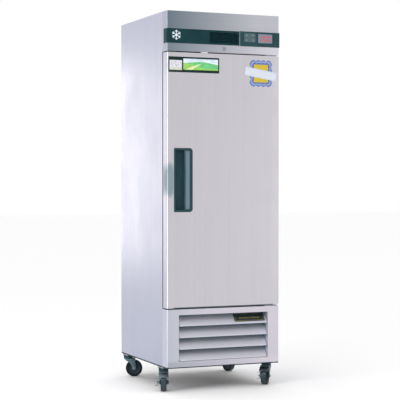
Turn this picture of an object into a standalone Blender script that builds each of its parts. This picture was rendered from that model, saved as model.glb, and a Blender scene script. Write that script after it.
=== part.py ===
"""Single-door reach-in refrigerator on four swivel casters.

Metres, +Z up. The origin is on the floor under the middle of the cabinet: -Y is the door's side,
the door hangs on the +X side and its handle is on the -X side.
"""

import math

import bmesh
import bpy
from mathutils import Matrix, Vector

# ---------------------------------------------------------------- driving dimensions
WIDTH = 0.686
DEPTH = 0.758  # from the door's face to the rear panel
CASTER_HEIGHT = 0.134
CABINET_HEIGHT = 1.978
HEADER_HEIGHT = 0.2225
LOWER_PANEL_TOP = 0.461
DOOR_THICKNESS = 0.060
SEAL_GAP = 0.012  # between the door's back and the door frame
DOOR_GAP = 0.0065  # above and below the door
SHEET = 0.0012
WALL = 0.058  # foam in the cabinet's walls
CLEAR = 0.0003  # between pieces that touch

# ---------------------------------------------------------------- levels and planes worked out from them
HALF = WIDTH / 2
FRONT = -DEPTH / 2
REAR = DEPTH / 2
BOTTOM = CASTER_HEIGHT
TOP = CASTER_HEIGHT + CABINET_HEIGHT
BODY_FRONT = FRONT + DOOR_THICKNESS + SEAL_GAP
DOOR_BACK = FRONT + DOOR_THICKNESS
HEADER_BOTTOM = TOP - HEADER_HEIGHT
DOOR_LOW = LOWER_PANEL_TOP + DOOR_GAP
DOOR_HIGH = HEADER_BOTTOM - DOOR_GAP
SKIRT_GAP = 0.0065  # the side and rear panels stop this far above the base pan's underside
LOWER_PANEL_GAP = 0.0025  # and the lower panel this far
TRIM_FRONT = FRONT + 0.0025  # header and lower panel stand this far behind the door's face

# cabinet cavity
FRAME_THICK = 0.004
FOAM_SIDE = HALF - SHEET - CLEAR
FOAM_FRONT = BODY_FRONT + FRAME_THICK + CLEAR
FOAM_REAR = REAR - SHEET - CLEAR
FOAM_HIGH = TOP - SHEET - CLEAR
CAVITY_SIDE = FOAM_SIDE - WALL
CAVITY_LOW = LOWER_PANEL_TOP + 0.0605
CAVITY_HIGH = TOP - 0.0615
CAVITY_REAR = REAR - 0.0605
OPENING_HIGH = HEADER_BOTTOM - 0.061
BEAM = 0.050  # the insulated beam behind the header
COVE = 0.012

# door
HINGE_X = HALF - 0.020
HINGE_Y = BODY_FRONT - 0.038
PIN_RADIUS = 0.005
PIN_SIDES = 24
BORE_RADIUS = (PIN_RADIUS + 0.00005) / math.cos(math.pi / PIN_SIDES)
PIN_REACH = 0.025  # of a hinge pin into the door
DOOR_CORNER = 0.008
CHANNEL_HALF = 0.310
CHANNEL_DEPTH = 0.014
CHANNEL_FRONT = FRONT + 0.007
CHANNEL_BACK = DOOR_BACK - 0.007
GASKET_OUTER = 0.310
GASKET_WIDTH = 0.022
GASKET_EDGE = 0.028  # from the door's top and bottom to the gasket
PAN_RISE = 0.0135
HANDLE_LEFT, HANDLE_RIGHT = -0.3015, -0.1945
HANDLE_LOW, HANDLE_HIGH = 1.000, 1.3545
HANDLE_RIDGE = 0.013  # proud of the door's face
POCKET_DEPTH = 0.030

# header
BAND_LOW, BAND_HIGH = 1.934, 2.014
BAND_PROUD = 0.0025
BAND_SHEET = 0.0022
BAND_WRAP = FRONT + 0.046  # how far back the band reaches round the corner
BAND_SPLIT = 0.0955  # between the plain fascia and the control panel
VENT_HALF = 0.092
VENT_LOW, VENT_HIGH = 1.9395, 2.0085
KEY_SIZE = (0.026, 0.018)
KEY_PITCH = (0.040, 0.026)
KEY_CENTRE = (0.158, 1.981)
KEY_TRAVEL = 0.0012
DISPLAY = (0.208, 0.300, 1.952, 2.006)
LOCK_Z = HEADER_BOTTOM + 0.023
LOCK_RADIUS = 0.0093
PLUG_RADIUS = 0.0063
CAM_LENGTH, CAM_WIDTH, CAM_THICK = 0.040, 0.012, 0.0025
CAM_Y = FRONT + 0.0215

# louvred grille
GRILLE_HALF = 0.272
GRILLE_LOW, GRILLE_HIGH = 0.171, 0.429
BLADES = 4
BLADE_DEPTH = 0.042
BLADE_SHEET = 0.0015

# interior
SHELF_LEVELS = (0.850, 1.170, 1.490)
SHELF_THICK = 0.008
SHELF_SLOTS = 12
PILASTER = (0.0117, 0.016)
PILASTER_Y = (-0.235, 0.255)
PILASTER_LOW, PILASTER_HIGH = 0.560, 1.800
COVER_LOW = 1.868
COVER_FRONT = -0.130
FAN_RADIUS = 0.070

# casters
CASTER_X = HALF - 0.024
CROWN_LOW, CROWN_HIGH = 0.1030, 0.1095
CASTER_Y = {"front": FRONT + 0.117, "rear": FRONT + 0.702}
TRAIL = 0.035  # of the wheel behind the swivel axis
WHEEL_RADIUS = 0.050
TREAD_WIDTH = 0.033
HUB_WIDTH = 0.046
FORK_INNER = HUB_WIDTH / 2 + 0.001
FORK_SHEET = 0.003
AXLE_RADIUS = 0.005
# each caster stands turned to its own angle, in degrees from facing straight back
CASTERS = {
    "front_left": (-1, "front", 159.0, True),
    "front_right": (1, "front", 143.0, True),
    "rear_left": (-1, "rear", 249.0, False),
    "rear_right": (1, "rear", 190.0, False),
}


# ---------------------------------------------------------------- scene and materials
for leftover in list(bpy.data.objects):
    bpy.data.objects.remove(leftover, do_unlink=True)

PARTS = bpy.data.collections.new("reach_in_refrigerator")
CUTTERS = bpy.data.collections.new("cutters")
bpy.context.scene.collection.children.link(PARTS)
bpy.context.scene.collection.children.link(CUTTERS)


def make_material(name, colour, roughness, metallic=0.0):
    material = bpy.data.materials.new(name)
    material.use_nodes = True
    shader = material.node_tree.nodes["Principled BSDF"]
    shader.inputs["Base Color"].default_value = (*colour, 1.0)
    shader.inputs["Roughness"].default_value = roughness
    shader.inputs["Metallic"].default_value = metallic
    return material


STAINLESS = make_material("brushed stainless", (0.62, 0.62, 0.64), 0.32, 1.0)
GALVANISED = make_material("galvanised steel", (0.55, 0.57, 0.58), 0.45, 1.0)
ALUMINIUM = make_material("aluminium", (0.75, 0.76, 0.77), 0.40, 1.0)
ZINC = make_material("zinc plate", (0.60, 0.63, 0.65), 0.35, 1.0)
BLACK_PLASTIC = make_material("black plastic", (0.015, 0.03, 0.033), 0.35)
WHITE_PLASTIC = make_material("white plastic", (0.85, 0.85, 0.83), 0.45)
GREY_RUBBER = make_material("grey gasket", (0.30, 0.31, 0.32), 0.65)
BLACK_RUBBER = make_material("black rubber", (0.02, 0.024, 0.026), 0.60)
FOAM = make_material("insulation foam", (0.80, 0.70, 0.42), 0.90)
COATED_WIRE = make_material("coated wire", (0.78, 0.80, 0.80), 0.45)
BLACK_ENAMEL = make_material("black enamel", (0.02, 0.02, 0.022), 0.30)
COPPER = make_material("copper tube", (0.72, 0.38, 0.24), 0.35, 1.0)


# ---------------------------------------------------------------- modelling helpers
def add_mesh(name, bm, material=None, parent=None):
    """Links the bmesh as a named part, or as a cutter when it has no material."""
    mesh = bpy.data.meshes.new(name)
    bm.normal_update()
    bm.to_mesh(mesh)
    bm.free()
    obj = bpy.data.objects.new(name, mesh)
    if material is None:
        CUTTERS.objects.link(obj)
        obj.hide_render = True
        obj.display_type = "WIRE"
    else:
        PARTS.objects.link(obj)
        mesh.materials.append(material)
    obj.parent = parent
    return obj


def empty(name, location, angle=0.0, parent=None):
    """A joint's own frame: on its axis, turned about Z."""
    obj = bpy.data.objects.new(name, None)
    PARTS.objects.link(obj)
    obj.location = location
    obj.rotation_euler = (0.0, 0.0, math.radians(angle))
    obj.parent = parent
    return obj


def box_bmesh(low, high):
    low, high = Vector(low), Vector(high)
    bm = bmesh.new()
    bmesh.ops.create_cube(bm, size=1.0)
    bmesh.ops.scale(bm, vec=high - low, verts=bm.verts)
    bmesh.ops.translate(bm, vec=(low + high) / 2, verts=bm.verts)
    return bm


def add_box(name, low, high, material=None, parent=None):
    return add_mesh(name, box_bmesh(low, high), material, parent)


def add_rounded_box(name, low, high, radius, chosen, material=None, parent=None, segments=4):
    """A box with the edges that chosen(midpoint, direction) picks rounded."""
    bm = box_bmesh(low, high)
    edges = []
    for edge in bm.edges:
        start, end = edge.verts[0].co, edge.verts[1].co
        if chosen((start + end) / 2, (end - start).normalized()):
            edges.append(edge)
    bmesh.ops.bevel(
        bm, geom=edges, offset=radius, segments=segments, profile=0.5, affect="EDGES"
    )
    return add_mesh(name, bm, material, parent)


AXIS_TURN = {
    "Z": Matrix.Identity(4),
    "Y": Matrix.Rotation(math.radians(90), 4, "X"),
    "X": Matrix.Rotation(math.radians(90), 4, "Y"),
}


def add_cylinder(name, centre, radius, length, axis="Z", material=None, parent=None, sides=24):
    bm = bmesh.new()
    bmesh.ops.create_cone(
        bm,
        cap_ends=True,
        segments=sides,
        radius1=radius,
        radius2=radius,
        depth=length,
        matrix=Matrix.Translation(centre) @ AXIS_TURN[axis],
    )
    return add_mesh(name, bm, material, parent)


def boolean(obj, other, operation="DIFFERENCE"):
    modifier = obj.modifiers.new(f"{operation.lower()} {other.name}", "BOOLEAN")
    modifier.operation = operation
    modifier.object = other
    return obj


def cut(obj, *cutters):
    for cutter in cutters:
        boolean(obj, cutter)
    return obj


def join(obj, *others):
    for other in others:
        boolean(obj, other, "UNION")
    return obj


def rectangle(x0, x1, y0, y1):
    return [(x0, y0), (x1, y0), (x1, y1), (x0, y1)]


def circle(x, y, radius, sides=24):
    turns = [2 * math.pi * i / sides for i in range(sides)]
    return [(x + radius * math.cos(a), y + radius * math.sin(a)) for a in turns]


# which way a flat outline's own X and Y run once it stands in the world
PLATE_TURN = {
    "XY": Matrix.Identity(4),
    "XZ": Matrix.Rotation(math.radians(90), 4, "X"),
    "YZ": Matrix.Rotation(math.radians(90), 4, "Z") @ Matrix.Rotation(math.radians(90), 4, "X"),
}


def add_plate(name, loops, thickness, plane, middle, material=None, parent=None):
    """A flat plate from an outline and its holes. middle is its mid-plane along the plate's normal."""
    curve = bpy.data.curves.new(name, "CURVE")
    curve.dimensions = "2D"
    curve.fill_mode = "BOTH"
    curve.extrude = thickness / 2
    for loop in loops:
        spline = curve.splines.new("POLY")
        spline.points.add(len(loop) - 1)
        spline.use_cyclic_u = True
        for point, (u, v) in zip(spline.points, loop):
            point.co = (u, v, 0.0, 1.0)
    guide = bpy.data.objects.new(name + "_outline", curve)
    CUTTERS.objects.link(guide)
    guide.hide_render = True
    bpy.context.view_layer.update()
    mesh = bpy.data.meshes.new_from_object(
        guide.evaluated_get(bpy.context.evaluated_depsgraph_get())
    )
    bm = bmesh.new()
    bm.from_mesh(mesh)
    bmesh.ops.remove_doubles(bm, verts=bm.verts, dist=1e-5)
    bmesh.ops.dissolve_limit(bm, angle_limit=0.001, verts=bm.verts, edges=bm.edges)
    normal = {"XY": (0, 0, 1), "XZ": (0, 1, 0), "YZ": (1, 0, 0)}[plane]
    bm.transform(Matrix.Translation(Vector(normal) * middle) @ PLATE_TURN[plane])
    bmesh.ops.recalc_face_normals(bm, faces=bm.faces)
    bpy.data.objects.remove(guide)
    bpy.data.curves.remove(curve)
    bpy.data.meshes.remove(mesh)
    return add_mesh(name, bm, material, parent)


def add_bevel(obj, width, segments=3, angle=30):
    modifier = obj.modifiers.new("rounded bends", "BEVEL")
    modifier.width = width
    modifier.segments = segments
    modifier.limit_method = "ANGLE"
    modifier.angle_limit = math.radians(angle)
    return obj


def add_solidify(obj, thickness):
    """Thickens a surface inwards, against its normals."""
    modifier = obj.modifiers.new("sheet", "SOLIDIFY")
    modifier.thickness = thickness
    modifier.offset = -1.0
    modifier.use_even_offset = True
    return obj


def add_open_box(name, low, high, open_side, bend, material, sheet=SHEET, parent=None, segments=3):
    """A folded cover or tray: a box of sheet with one side missing."""
    bm = box_bmesh(low, high)
    bm.normal_update()
    missing = [f for f in bm.faces if f.normal.dot(Vector(open_side)) > 0.9]
    bmesh.ops.delete(bm, geom=missing, context="FACES_ONLY")
    obj = add_mesh(name, bm, material, parent)
    add_bevel(obj, bend, segments)
    return add_solidify(obj, sheet)


def add_bent_strip(name, line, low, high, bend, sheet, material, segments=3):
    """A strip of sheet that stands upright and follows a line in plan, thickened to the line's left."""
    bm = bmesh.new()
    rows = [[bm.verts.new((x, y, z)) for x, y in line] for z in (low, high)]
    for i in range(len(line) - 1):
        bm.faces.new((rows[0][i], rows[0][i + 1], rows[1][i + 1], rows[1][i]))
    obj = add_mesh(name, bm, material)
    add_bevel(obj, bend, segments)
    return add_solidify(obj, sheet)


def add_turned(name, profile, steps, material=None, parent=None):
    """A turned shape about Z from a profile at +X that runs down its outer side."""
    bm = bmesh.new()
    points = [bm.verts.new((r, 0.0, z)) for r, z in profile]
    for first, second in zip(points, points[1:]):
        bm.edges.new((first, second))
    if profile[0][0] > 0:
        bm.edges.new((points[-1], points[0]))
    obj = add_mesh(name, bm, material, parent)
    modifier = obj.modifiers.new("turned", "SCREW")
    modifier.steps = steps
    modifier.render_steps = steps
    modifier.use_merge_vertices = True
    modifier.merge_threshold = 0.00001
    return obj


# ---------------------------------------------------------------- cabinet
def cavity(name, inset, front, round_edges=0.0):
    """The storage space as a solid: a tall room with a lower doorway in front of it."""
    side = CAVITY_SIDE - inset
    low, high = CAVITY_LOW + inset, CAVITY_HIGH - inset
    rear, beam_back = CAVITY_REAR - inset, FOAM_FRONT + BEAM + inset
    doorway_high = OPENING_HIGH - inset
    outline = [
        (front, low),
        (rear, low),
        (rear, high),
        (beam_back, high),
        (beam_back, doorway_high),
        (front, doorway_high),
    ]
    solid = add_plate(name, [outline], 2 * side, "YZ", 0.0)
    if round_edges:
        add_bevel(solid, round_edges)
    return solid


def build_cabinet():
    for name, side in (("left_side_panel", -1), ("right_side_panel", 1)):
        corner, flange = HALF * side, (HALF - 0.015) * side
        line = [(corner, BODY_FRONT), (corner, REAR), (flange, REAR)]
        add_bent_strip(
            name, line if side > 0 else line[::-1], BOTTOM + SKIRT_GAP, TOP, 0.0014, SHEET, STAINLESS, 2
        )

    add_box(
        "top_panel",
        (-FOAM_SIDE, BODY_FRONT + CLEAR, TOP - SHEET),
        (FOAM_SIDE, FOAM_REAR, TOP),
        GALVANISED,
    )

    rear_side = HALF - 0.0155
    slots = [rectangle(-rear_side, rear_side, BOTTOM + SKIRT_GAP, TOP - 0.002)]
    for column in (-0.155, 0.155):
        for row in range(9):
            z = 0.200 + 0.024 * row
            slots.append(rectangle(column - 0.110, column + 0.110, z, z + 0.010))
    add_plate("rear_panel", slots, SHEET, "XZ", REAR - SHEET / 2, GALVANISED)

    body = add_box(
        "insulated_body",
        (-FOAM_SIDE, FOAM_FRONT, LOWER_PANEL_TOP),
        (FOAM_SIDE, FOAM_REAR, FOAM_HIGH),
        FOAM,
    )
    cut(body, cavity("cavity_in_foam", 0.0, FOAM_FRONT - 0.01))

    liner = cavity("inner_liner", CLEAR, FOAM_FRONT)
    CUTTERS.objects.unlink(liner)
    PARTS.objects.link(liner)
    liner.hide_render = False
    liner.data.materials.append(ALUMINIUM)
    cut(liner, cavity("cavity_in_liner", CLEAR + SHEET, FOAM_FRONT - 0.02, COVE))

    inner_side = CAVITY_SIDE - CLEAR - SHEET
    inner_low, inner_high = CAVITY_LOW + CLEAR + SHEET, OPENING_HIGH - CLEAR - SHEET
    add_plate(
        "door_frame",
        [
            rectangle(-FOAM_SIDE, FOAM_SIDE, LOWER_PANEL_TOP, HEADER_BOTTOM),
            rectangle(-inner_side, inner_side, inner_low, inner_high),
        ],
        FRAME_THICK,
        "XZ",
        BODY_FRONT + FRAME_THICK / 2,
        STAINLESS,
    )

    add_open_box(
        "base_pan",
        (-FOAM_SIDE + 0.002, BODY_FRONT + CLEAR, BOTTOM),
        (FOAM_SIDE - 0.002, FOAM_REAR, BOTTOM + 0.028),
        (0, 0, 1),
        0.003,
        GALVANISED,
        sheet=0.002,
        segments=2,
    )

    add_rounded_box(
        "power_inlet",
        (0.235, REAR + CLEAR, 0.165),
        (0.275, REAR + 0.007, 0.190),
        0.002,
        lambda middle, direction: middle.y > REAR + 0.006,
        BLACK_PLASTIC,
        segments=2,
    )


# ---------------------------------------------------------------- header with band, controls and lock
def key_centres():
    for row in (1, -1):
        for column in (-1, 1):
            yield (
                KEY_CENTRE[0] + column * KEY_PITCH[0] / 2,
                KEY_CENTRE[1] + row * KEY_PITCH[1] / 2,
            )


def build_header():
    header = add_open_box(
        "header_panel",
        (-HALF, TRIM_FRONT, HEADER_BOTTOM),
        (HALF, BODY_FRONT - CLEAR, TOP),
        (0, 1, 0),
        0.004,
        STAINLESS,
    )
    cut(
        header,
        add_box("vent_hole", (-0.085, FRONT - 0.01, 1.945), (0.085, FRONT + 0.01, 2.003)),
        add_box("controller_hole", (0.108, FRONT - 0.01, 1.943), (0.312, FRONT + 0.01, 2.010)),
        add_cylinder("lock_hole", (0, FRONT, LOCK_Z), LOCK_RADIUS + 0.0004, 0.02, "Y"),
        add_box(
            "cam_slot",
            (-0.010, CAM_Y - 0.003, HEADER_BOTTOM - 0.01),
            (CAM_LENGTH, CAM_Y + CAM_THICK + 0.003, HEADER_BOTTOM + 0.006),
        ),
    )

    band_front = TRIM_FRONT - BAND_PROUD - 0.0005
    band_side = HALF + BAND_PROUD
    fascia = add_bent_strip(
        "header_fascia",
        [(-band_side, BAND_WRAP), (-band_side, band_front), (BAND_SPLIT - 0.0005, band_front)],
        BAND_LOW,
        BAND_HIGH,
        0.004,
        BAND_SHEET,
        BLACK_PLASTIC,
    )
    cut(
        fascia,
        add_box(
            "vent_window",
            (-VENT_HALF, FRONT - 0.01, VENT_LOW),
            (VENT_HALF, FRONT + 0.01, VENT_HIGH),
        ),
    )

    vent_loops = [
        rectangle(-VENT_HALF + CLEAR, VENT_HALF - CLEAR, VENT_LOW + CLEAR, VENT_HIGH - CLEAR)
    ]
    for row in range(5):
        z = VENT_LOW + 0.0085 + 0.0118 * row
        vent_loops.append(rectangle(-0.084, 0.084, z, z + 0.006))
    add_plate("header_vent", vent_loops, 0.0016, "XZ", TRIM_FRONT - 0.0012, BLACK_PLASTIC)

    panel_front = band_front - 0.0017
    panel = add_bent_strip(
        "control_panel",
        [(BAND_SPLIT + 0.0005, panel_front), (band_side, panel_front), (band_side, BAND_WRAP)],
        BAND_LOW - 0.0015,
        BAND_HIGH + 0.0015,
        0.004,
        BAND_SHEET,
        BLACK_PLASTIC,
    )
    left, right, low, high = DISPLAY
    panel_back = panel_front + BAND_SHEET
    cut(
        panel,
        add_box("display_window", (left, FRONT - 0.01, low), (right, FRONT + 0.002, high)),
    )
    controller = add_box(
        "controller",
        (0.110, panel_back + CLEAR, 1.945),
        (0.310, panel_back + 0.050, 2.008),
        BLACK_PLASTIC,
    )
    for number, (x, z) in enumerate(key_centres(), 1):
        half_x, half_z = KEY_SIZE[0] / 2, KEY_SIZE[1] / 2
        key_hole = add_box(
            f"key_hole_{number}",
            (x - half_x - CLEAR, FRONT - 0.01, z - half_z - CLEAR),
            (x + half_x + CLEAR, panel_back + 0.005, z + half_z + CLEAR),
        )
        cut(panel, key_hole)
        cut(controller, key_hole)
        frame = empty(f"key_{number}_slide", (x, panel_front, z))
        add_rounded_box(
            f"key_{number}",
            (-half_x, -0.0015, -half_z),
            (half_x, BAND_SHEET + 0.0025, half_z),
            0.001,
            lambda middle, direction: middle.y < -0.001,
            WHITE_PLASTIC,
            frame,
            segments=2,
        )
    build_lock()

    add_box(
        "door_switch",
        (-0.136, FRONT + 0.004, HEADER_BOTTOM - 0.005),
        (-0.098, FRONT + 0.022, HEADER_BOTTOM - CLEAR),
        WHITE_PLASTIC,
    )


def build_lock():
    barrel_back = CAM_Y - 0.0005 - TRIM_FRONT
    bore = (PLUG_RADIUS + 0.00005) / math.cos(math.pi / 24)
    barrel_frame = empty("lock_axis", (0, TRIM_FRONT, LOCK_Z))
    barrel_frame.rotation_euler = (math.radians(90), 0, 0)
    add_turned(
        "lock_barrel",
        [
            (bore, 0.0030),
            (0.0100, 0.0030),
            (0.0108, 0.0022),
            (0.0108, CLEAR),
            (LOCK_RADIUS, CLEAR),
            (LOCK_RADIUS, -barrel_back),
            (bore, -barrel_back),
        ],
        24,
        ZINC,
        barrel_frame,
    )
    plug = add_turned(
        "lock_plug",
        [
            (0.0, 0.0034),
            (PLUG_RADIUS - 0.0006, 0.0034),
            (PLUG_RADIUS, 0.0028),
            (PLUG_RADIUS, -barrel_back - CAM_THICK - 0.0005),
            (0.0, -barrel_back - CAM_THICK - 0.0005),
        ],
        24,
        ZINC,
        barrel_frame,
    )
    cam_near = -barrel_back - 0.0005
    cam = add_box(
        "cam",
        (-0.006, -CAM_WIDTH / 2, cam_near - CAM_THICK + 0.0003),
        (CAM_LENGTH, CAM_WIDTH / 2, cam_near),
        parent=barrel_frame,
    )
    key_slot = add_box("key_slot", (-0.004, -0.0008, 0.0), (0.004, 0.0008, 0.01), parent=barrel_frame)
    join(plug, cam)
    cut(plug, key_slot)


# ---------------------------------------------------------------- lower panel and grille
def build_lower_panel():
    panel = add_open_box(
        "lower_panel",
        (-HALF, TRIM_FRONT, BOTTOM + LOWER_PANEL_GAP),
        (HALF, BODY_FRONT - CLEAR, LOWER_PANEL_TOP - CLEAR),
        (0, 1, 0),
        0.006,
        STAINLESS,
    )
    cut(
        panel,
        add_box(
            "grille_window",
            (-GRILLE_HALF, FRONT - 0.01, GRILLE_LOW),
            (GRILLE_HALF, FRONT + 0.03, GRILLE_HIGH),
        ),
    )

    pitch = (GRILLE_HIGH - GRILLE_LOW) / BLADES
    blade_half = GRILLE_HALF - 0.004
    rail_low = (-GRILLE_HALF + CLEAR, TRIM_FRONT + 0.0015, GRILLE_LOW + CLEAR)
    rail_high = (-blade_half + 0.001, TRIM_FRONT + BLADE_DEPTH + 0.006, GRILLE_HIGH - CLEAR)
    grille = add_box("louver_grille", rail_low, rail_high, STAINLESS)
    join(
        grille,
        add_box(
            "grille_right_rail",
            (-rail_high[0], rail_low[1], rail_low[2]),
            (-rail_low[0], rail_high[1], rail_high[2]),
        ),
    )
    for blade in range(BLADES):
        foot = GRILLE_LOW + pitch * blade + 0.001
        front, back = TRIM_FRONT + 0.002, TRIM_FRONT + BLADE_DEPTH
        # the blade slopes back as it rises, and its foot is folded back under it
        outline = [
            (front, foot),
            (front, foot + 0.006),
            (back, foot + pitch - 0.004),
            (back + BLADE_SHEET, foot + pitch - 0.006),
            (front + BLADE_SHEET, foot + 0.0045),
            (front + BLADE_SHEET, foot + 0.0015),
            (front + 0.008, foot + 0.0015),
            (front + 0.008, foot),
        ]
        join(grille, add_plate(f"blade_{blade + 1}", [outline], 2 * blade_half, "YZ", 0.0))

    # the nameplate lies on the upper blade's slope, near the +X end
    foot = GRILLE_LOW + pitch * (BLADES - 1) + 0.001
    start = Vector((0, TRIM_FRONT + 0.002, foot + 0.006))
    end = Vector((0, TRIM_FRONT + BLADE_DEPTH, foot + pitch - 0.004))
    slope = (end - start).normalized()
    outward = Vector((0, -slope.z, slope.y))
    plate = add_box("nameplate", (0.071, 0.0, 0.0), (0.259, 0.0018, 0.052), BLACK_PLASTIC)
    plate.location = start + slope * 0.013 + outward * (0.0018 + CLEAR)
    plate.rotation_euler = (-math.atan2(slope.y, slope.z), 0, 0)


# ---------------------------------------------------------------- hinges and door
def build_hinges():
    for name, face, direction in (
        ("top_hinge", HEADER_BOTTOM - CLEAR, -1),
        ("bottom_hinge", LOWER_PANEL_TOP + CLEAR, 1),
    ):
        far = face + direction * 0.003
        low, high = sorted((face, far))
        leaf = add_rounded_box(
            name,
            (0.262, HINGE_Y - 0.018, low),
            (HALF - 0.005, BODY_FRONT - 0.001, high),
            0.008,
            lambda middle, along: abs(along.z) > 0.9 and middle.y < HINGE_Y,
            STAINLESS,
            segments=3,
        )
        door_edge = DOOR_HIGH if direction < 0 else DOOR_LOW
        tip = door_edge + direction * PIN_REACH
        root = far - direction * 0.002
        join(
            leaf,
            add_cylinder(
                name + "_pin", (HINGE_X, HINGE_Y, (root + tip) / 2), PIN_RADIUS, abs(root - tip)
            ),
        )


def front_upright(middle, direction):
    return abs(direction.z) > 0.9 and middle.y < (FRONT + DOOR_BACK) / 2


def door_block(name, inset, back, material=None, parent=None):
    """The door's body less the channels in its top and bottom ends, all shrunk by inset."""
    block = add_rounded_box(
        name,
        (-HALF + inset, FRONT + inset, DOOR_LOW + inset),
        (HALF - inset, back, DOOR_HIGH - inset),
        DOOR_CORNER - inset,
        front_upright,
        material,
        parent,
    )
    for end, low, high in (
        ("top", DOOR_HIGH - CHANNEL_DEPTH - inset, DOOR_HIGH + 0.01),
        ("bottom", DOOR_LOW - 0.01, DOOR_LOW + CHANNEL_DEPTH + inset),
    ):
        cut(
            block,
            add_box(
                f"{name}_{end}_channel",
                (-CHANNEL_HALF - inset, CHANNEL_FRONT - inset, low),
                (CHANNEL_HALF + inset, CHANNEL_BACK + inset, high),
                parent=parent,
            ),
        )
    return block


def build_door():
    swing = empty("door_swing", (HINGE_X, HINGE_Y, 0))
    pan_back = DOOR_BACK - 0.0001
    before = set(CUTTERS.objects) | set(PARTS.objects)

    skin = door_block("door_skin", 0.0, DOOR_BACK, STAINLESS)
    core = door_block("door_core", SHEET + CLEAR, pan_back - SHEET - CLEAR, FOAM)
    hollow = door_block("door_hollow", SHEET, DOOR_BACK + 0.01)
    tub_hole = add_box(
        "tub_hole",
        (HANDLE_LEFT + 0.0040, FRONT - 0.01, HANDLE_LOW + 0.0040),
        (HANDLE_RIGHT - 0.0040, FRONT + POCKET_DEPTH + 0.0025, HANDLE_HIGH - 0.0040),
    )
    cut(skin, hollow, tub_hole)
    cut(core, tub_hole)
    for end, z in (("top", DOOR_HIGH), ("bottom", DOOR_LOW)):
        bore = add_cylinder(
            f"{end}_bore", (HINGE_X, HINGE_Y, z), BORE_RADIUS, 2 * PIN_REACH + 0.006
        )
        cut(skin, bore)
        cut(core, bore)

    build_door_pan(pan_back)

    low, high = DOOR_LOW + GASKET_EDGE, DOOR_HIGH - GASKET_EDGE
    inner = GASKET_OUTER - GASKET_WIDTH
    add_plate(
        "door_gasket",
        [
            rectangle(-GASKET_OUTER, GASKET_OUTER, low, high),
            rectangle(-inner, inner, low + GASKET_WIDTH, high - GASKET_WIDTH),
        ],
        SEAL_GAP - 2 * CLEAR,
        "XZ",
        DOOR_BACK + SEAL_GAP / 2,
        GREY_RUBBER,
    )
    build_handle()

    for piece in (set(CUTTERS.objects) | set(PARTS.objects)) - before:
        piece.parent = swing
        piece.matrix_parent_inverse = Matrix.Translation(-swing.location)


def build_door_pan(back):
    """The inner pan: flat where the gasket sits, with a raised middle."""
    half_x = HALF - SHEET - CLEAR
    low, high = DOOR_LOW + SHEET + CLEAR, DOOR_HIGH - SHEET - CLEAR
    bm = bmesh.new()
    bmesh.ops.create_grid(bm, x_segments=1, y_segments=1, size=1.0)
    bmesh.ops.scale(bm, vec=(half_x, (high - low) / 2, 1), verts=bm.verts)
    bm.transform(
        Matrix.Translation((0, back, (low + high) / 2)) @ Matrix.Rotation(math.radians(-90), 4, "X")
    )
    bm.normal_update()
    margin = half_x - (GASKET_OUTER - GASKET_WIDTH) + 0.012
    middle = list(bm.faces)
    bmesh.ops.inset_region(
        bm, faces=middle, thickness=margin, use_even_offset=True, use_boundary=True
    )
    bm.normal_update()
    bmesh.ops.inset_region(bm, faces=middle, thickness=PAN_RISE, use_even_offset=True)
    raised = {vertex for face in middle for vertex in face.verts}
    bmesh.ops.translate(bm, vec=(0, PAN_RISE, 0), verts=list(raised))
    add_solidify(add_mesh("door_pan", bm, STAINLESS), SHEET)


def build_handle():
    """A moulded recessed pull: a tub let into the door, with a rounded ridge to grip from its open side."""
    flange_front = FRONT - 0.0035
    split = HANDLE_LEFT + 0.0615
    handle = add_rounded_box(
        "door_handle",
        (HANDLE_LEFT, flange_front, HANDLE_LOW),
        (HANDLE_RIGHT, FRONT - CLEAR, HANDLE_HIGH),
        0.016,
        lambda middle, direction: abs(direction.y) > 0.9 and middle.x > split,
        BLACK_PLASTIC,
    )
    tub = add_box(
        "tub",
        (HANDLE_LEFT + 0.0045, flange_front + 0.001, HANDLE_LOW + 0.0045),
        (HANDLE_RIGHT - 0.0045, FRONT + POCKET_DEPTH + 0.002, HANDLE_HIGH - 0.0045),
    )
    ridge = add_rounded_box(
        "ridge",
        (split, FRONT - HANDLE_RIDGE, HANDLE_LOW + 0.002),
        (HANDLE_RIGHT - 0.0015, FRONT - 0.001, HANDLE_HIGH - 0.002),
        0.007,
        lambda middle, direction: middle.y < FRONT - 0.008,
        segments=3,
    )
    opening = add_box(
        "finger_opening",
        (HANDLE_LEFT + 0.008, FRONT - 0.03, HANDLE_LOW + 0.010),
        (split - 0.002, FRONT + POCKET_DEPTH, HANDLE_HIGH - 0.010),
    )
    undercut = add_box(
        "finger_undercut",
        (HANDLE_LEFT + 0.008, FRONT + 0.006, HANDLE_LOW + 0.010),
        (HANDLE_RIGHT - 0.012, FRONT + POCKET_DEPTH, HANDLE_HIGH - 0.010),
    )
    join(handle, tub, ridge)
    cut(handle, opening, undercut)


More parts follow.
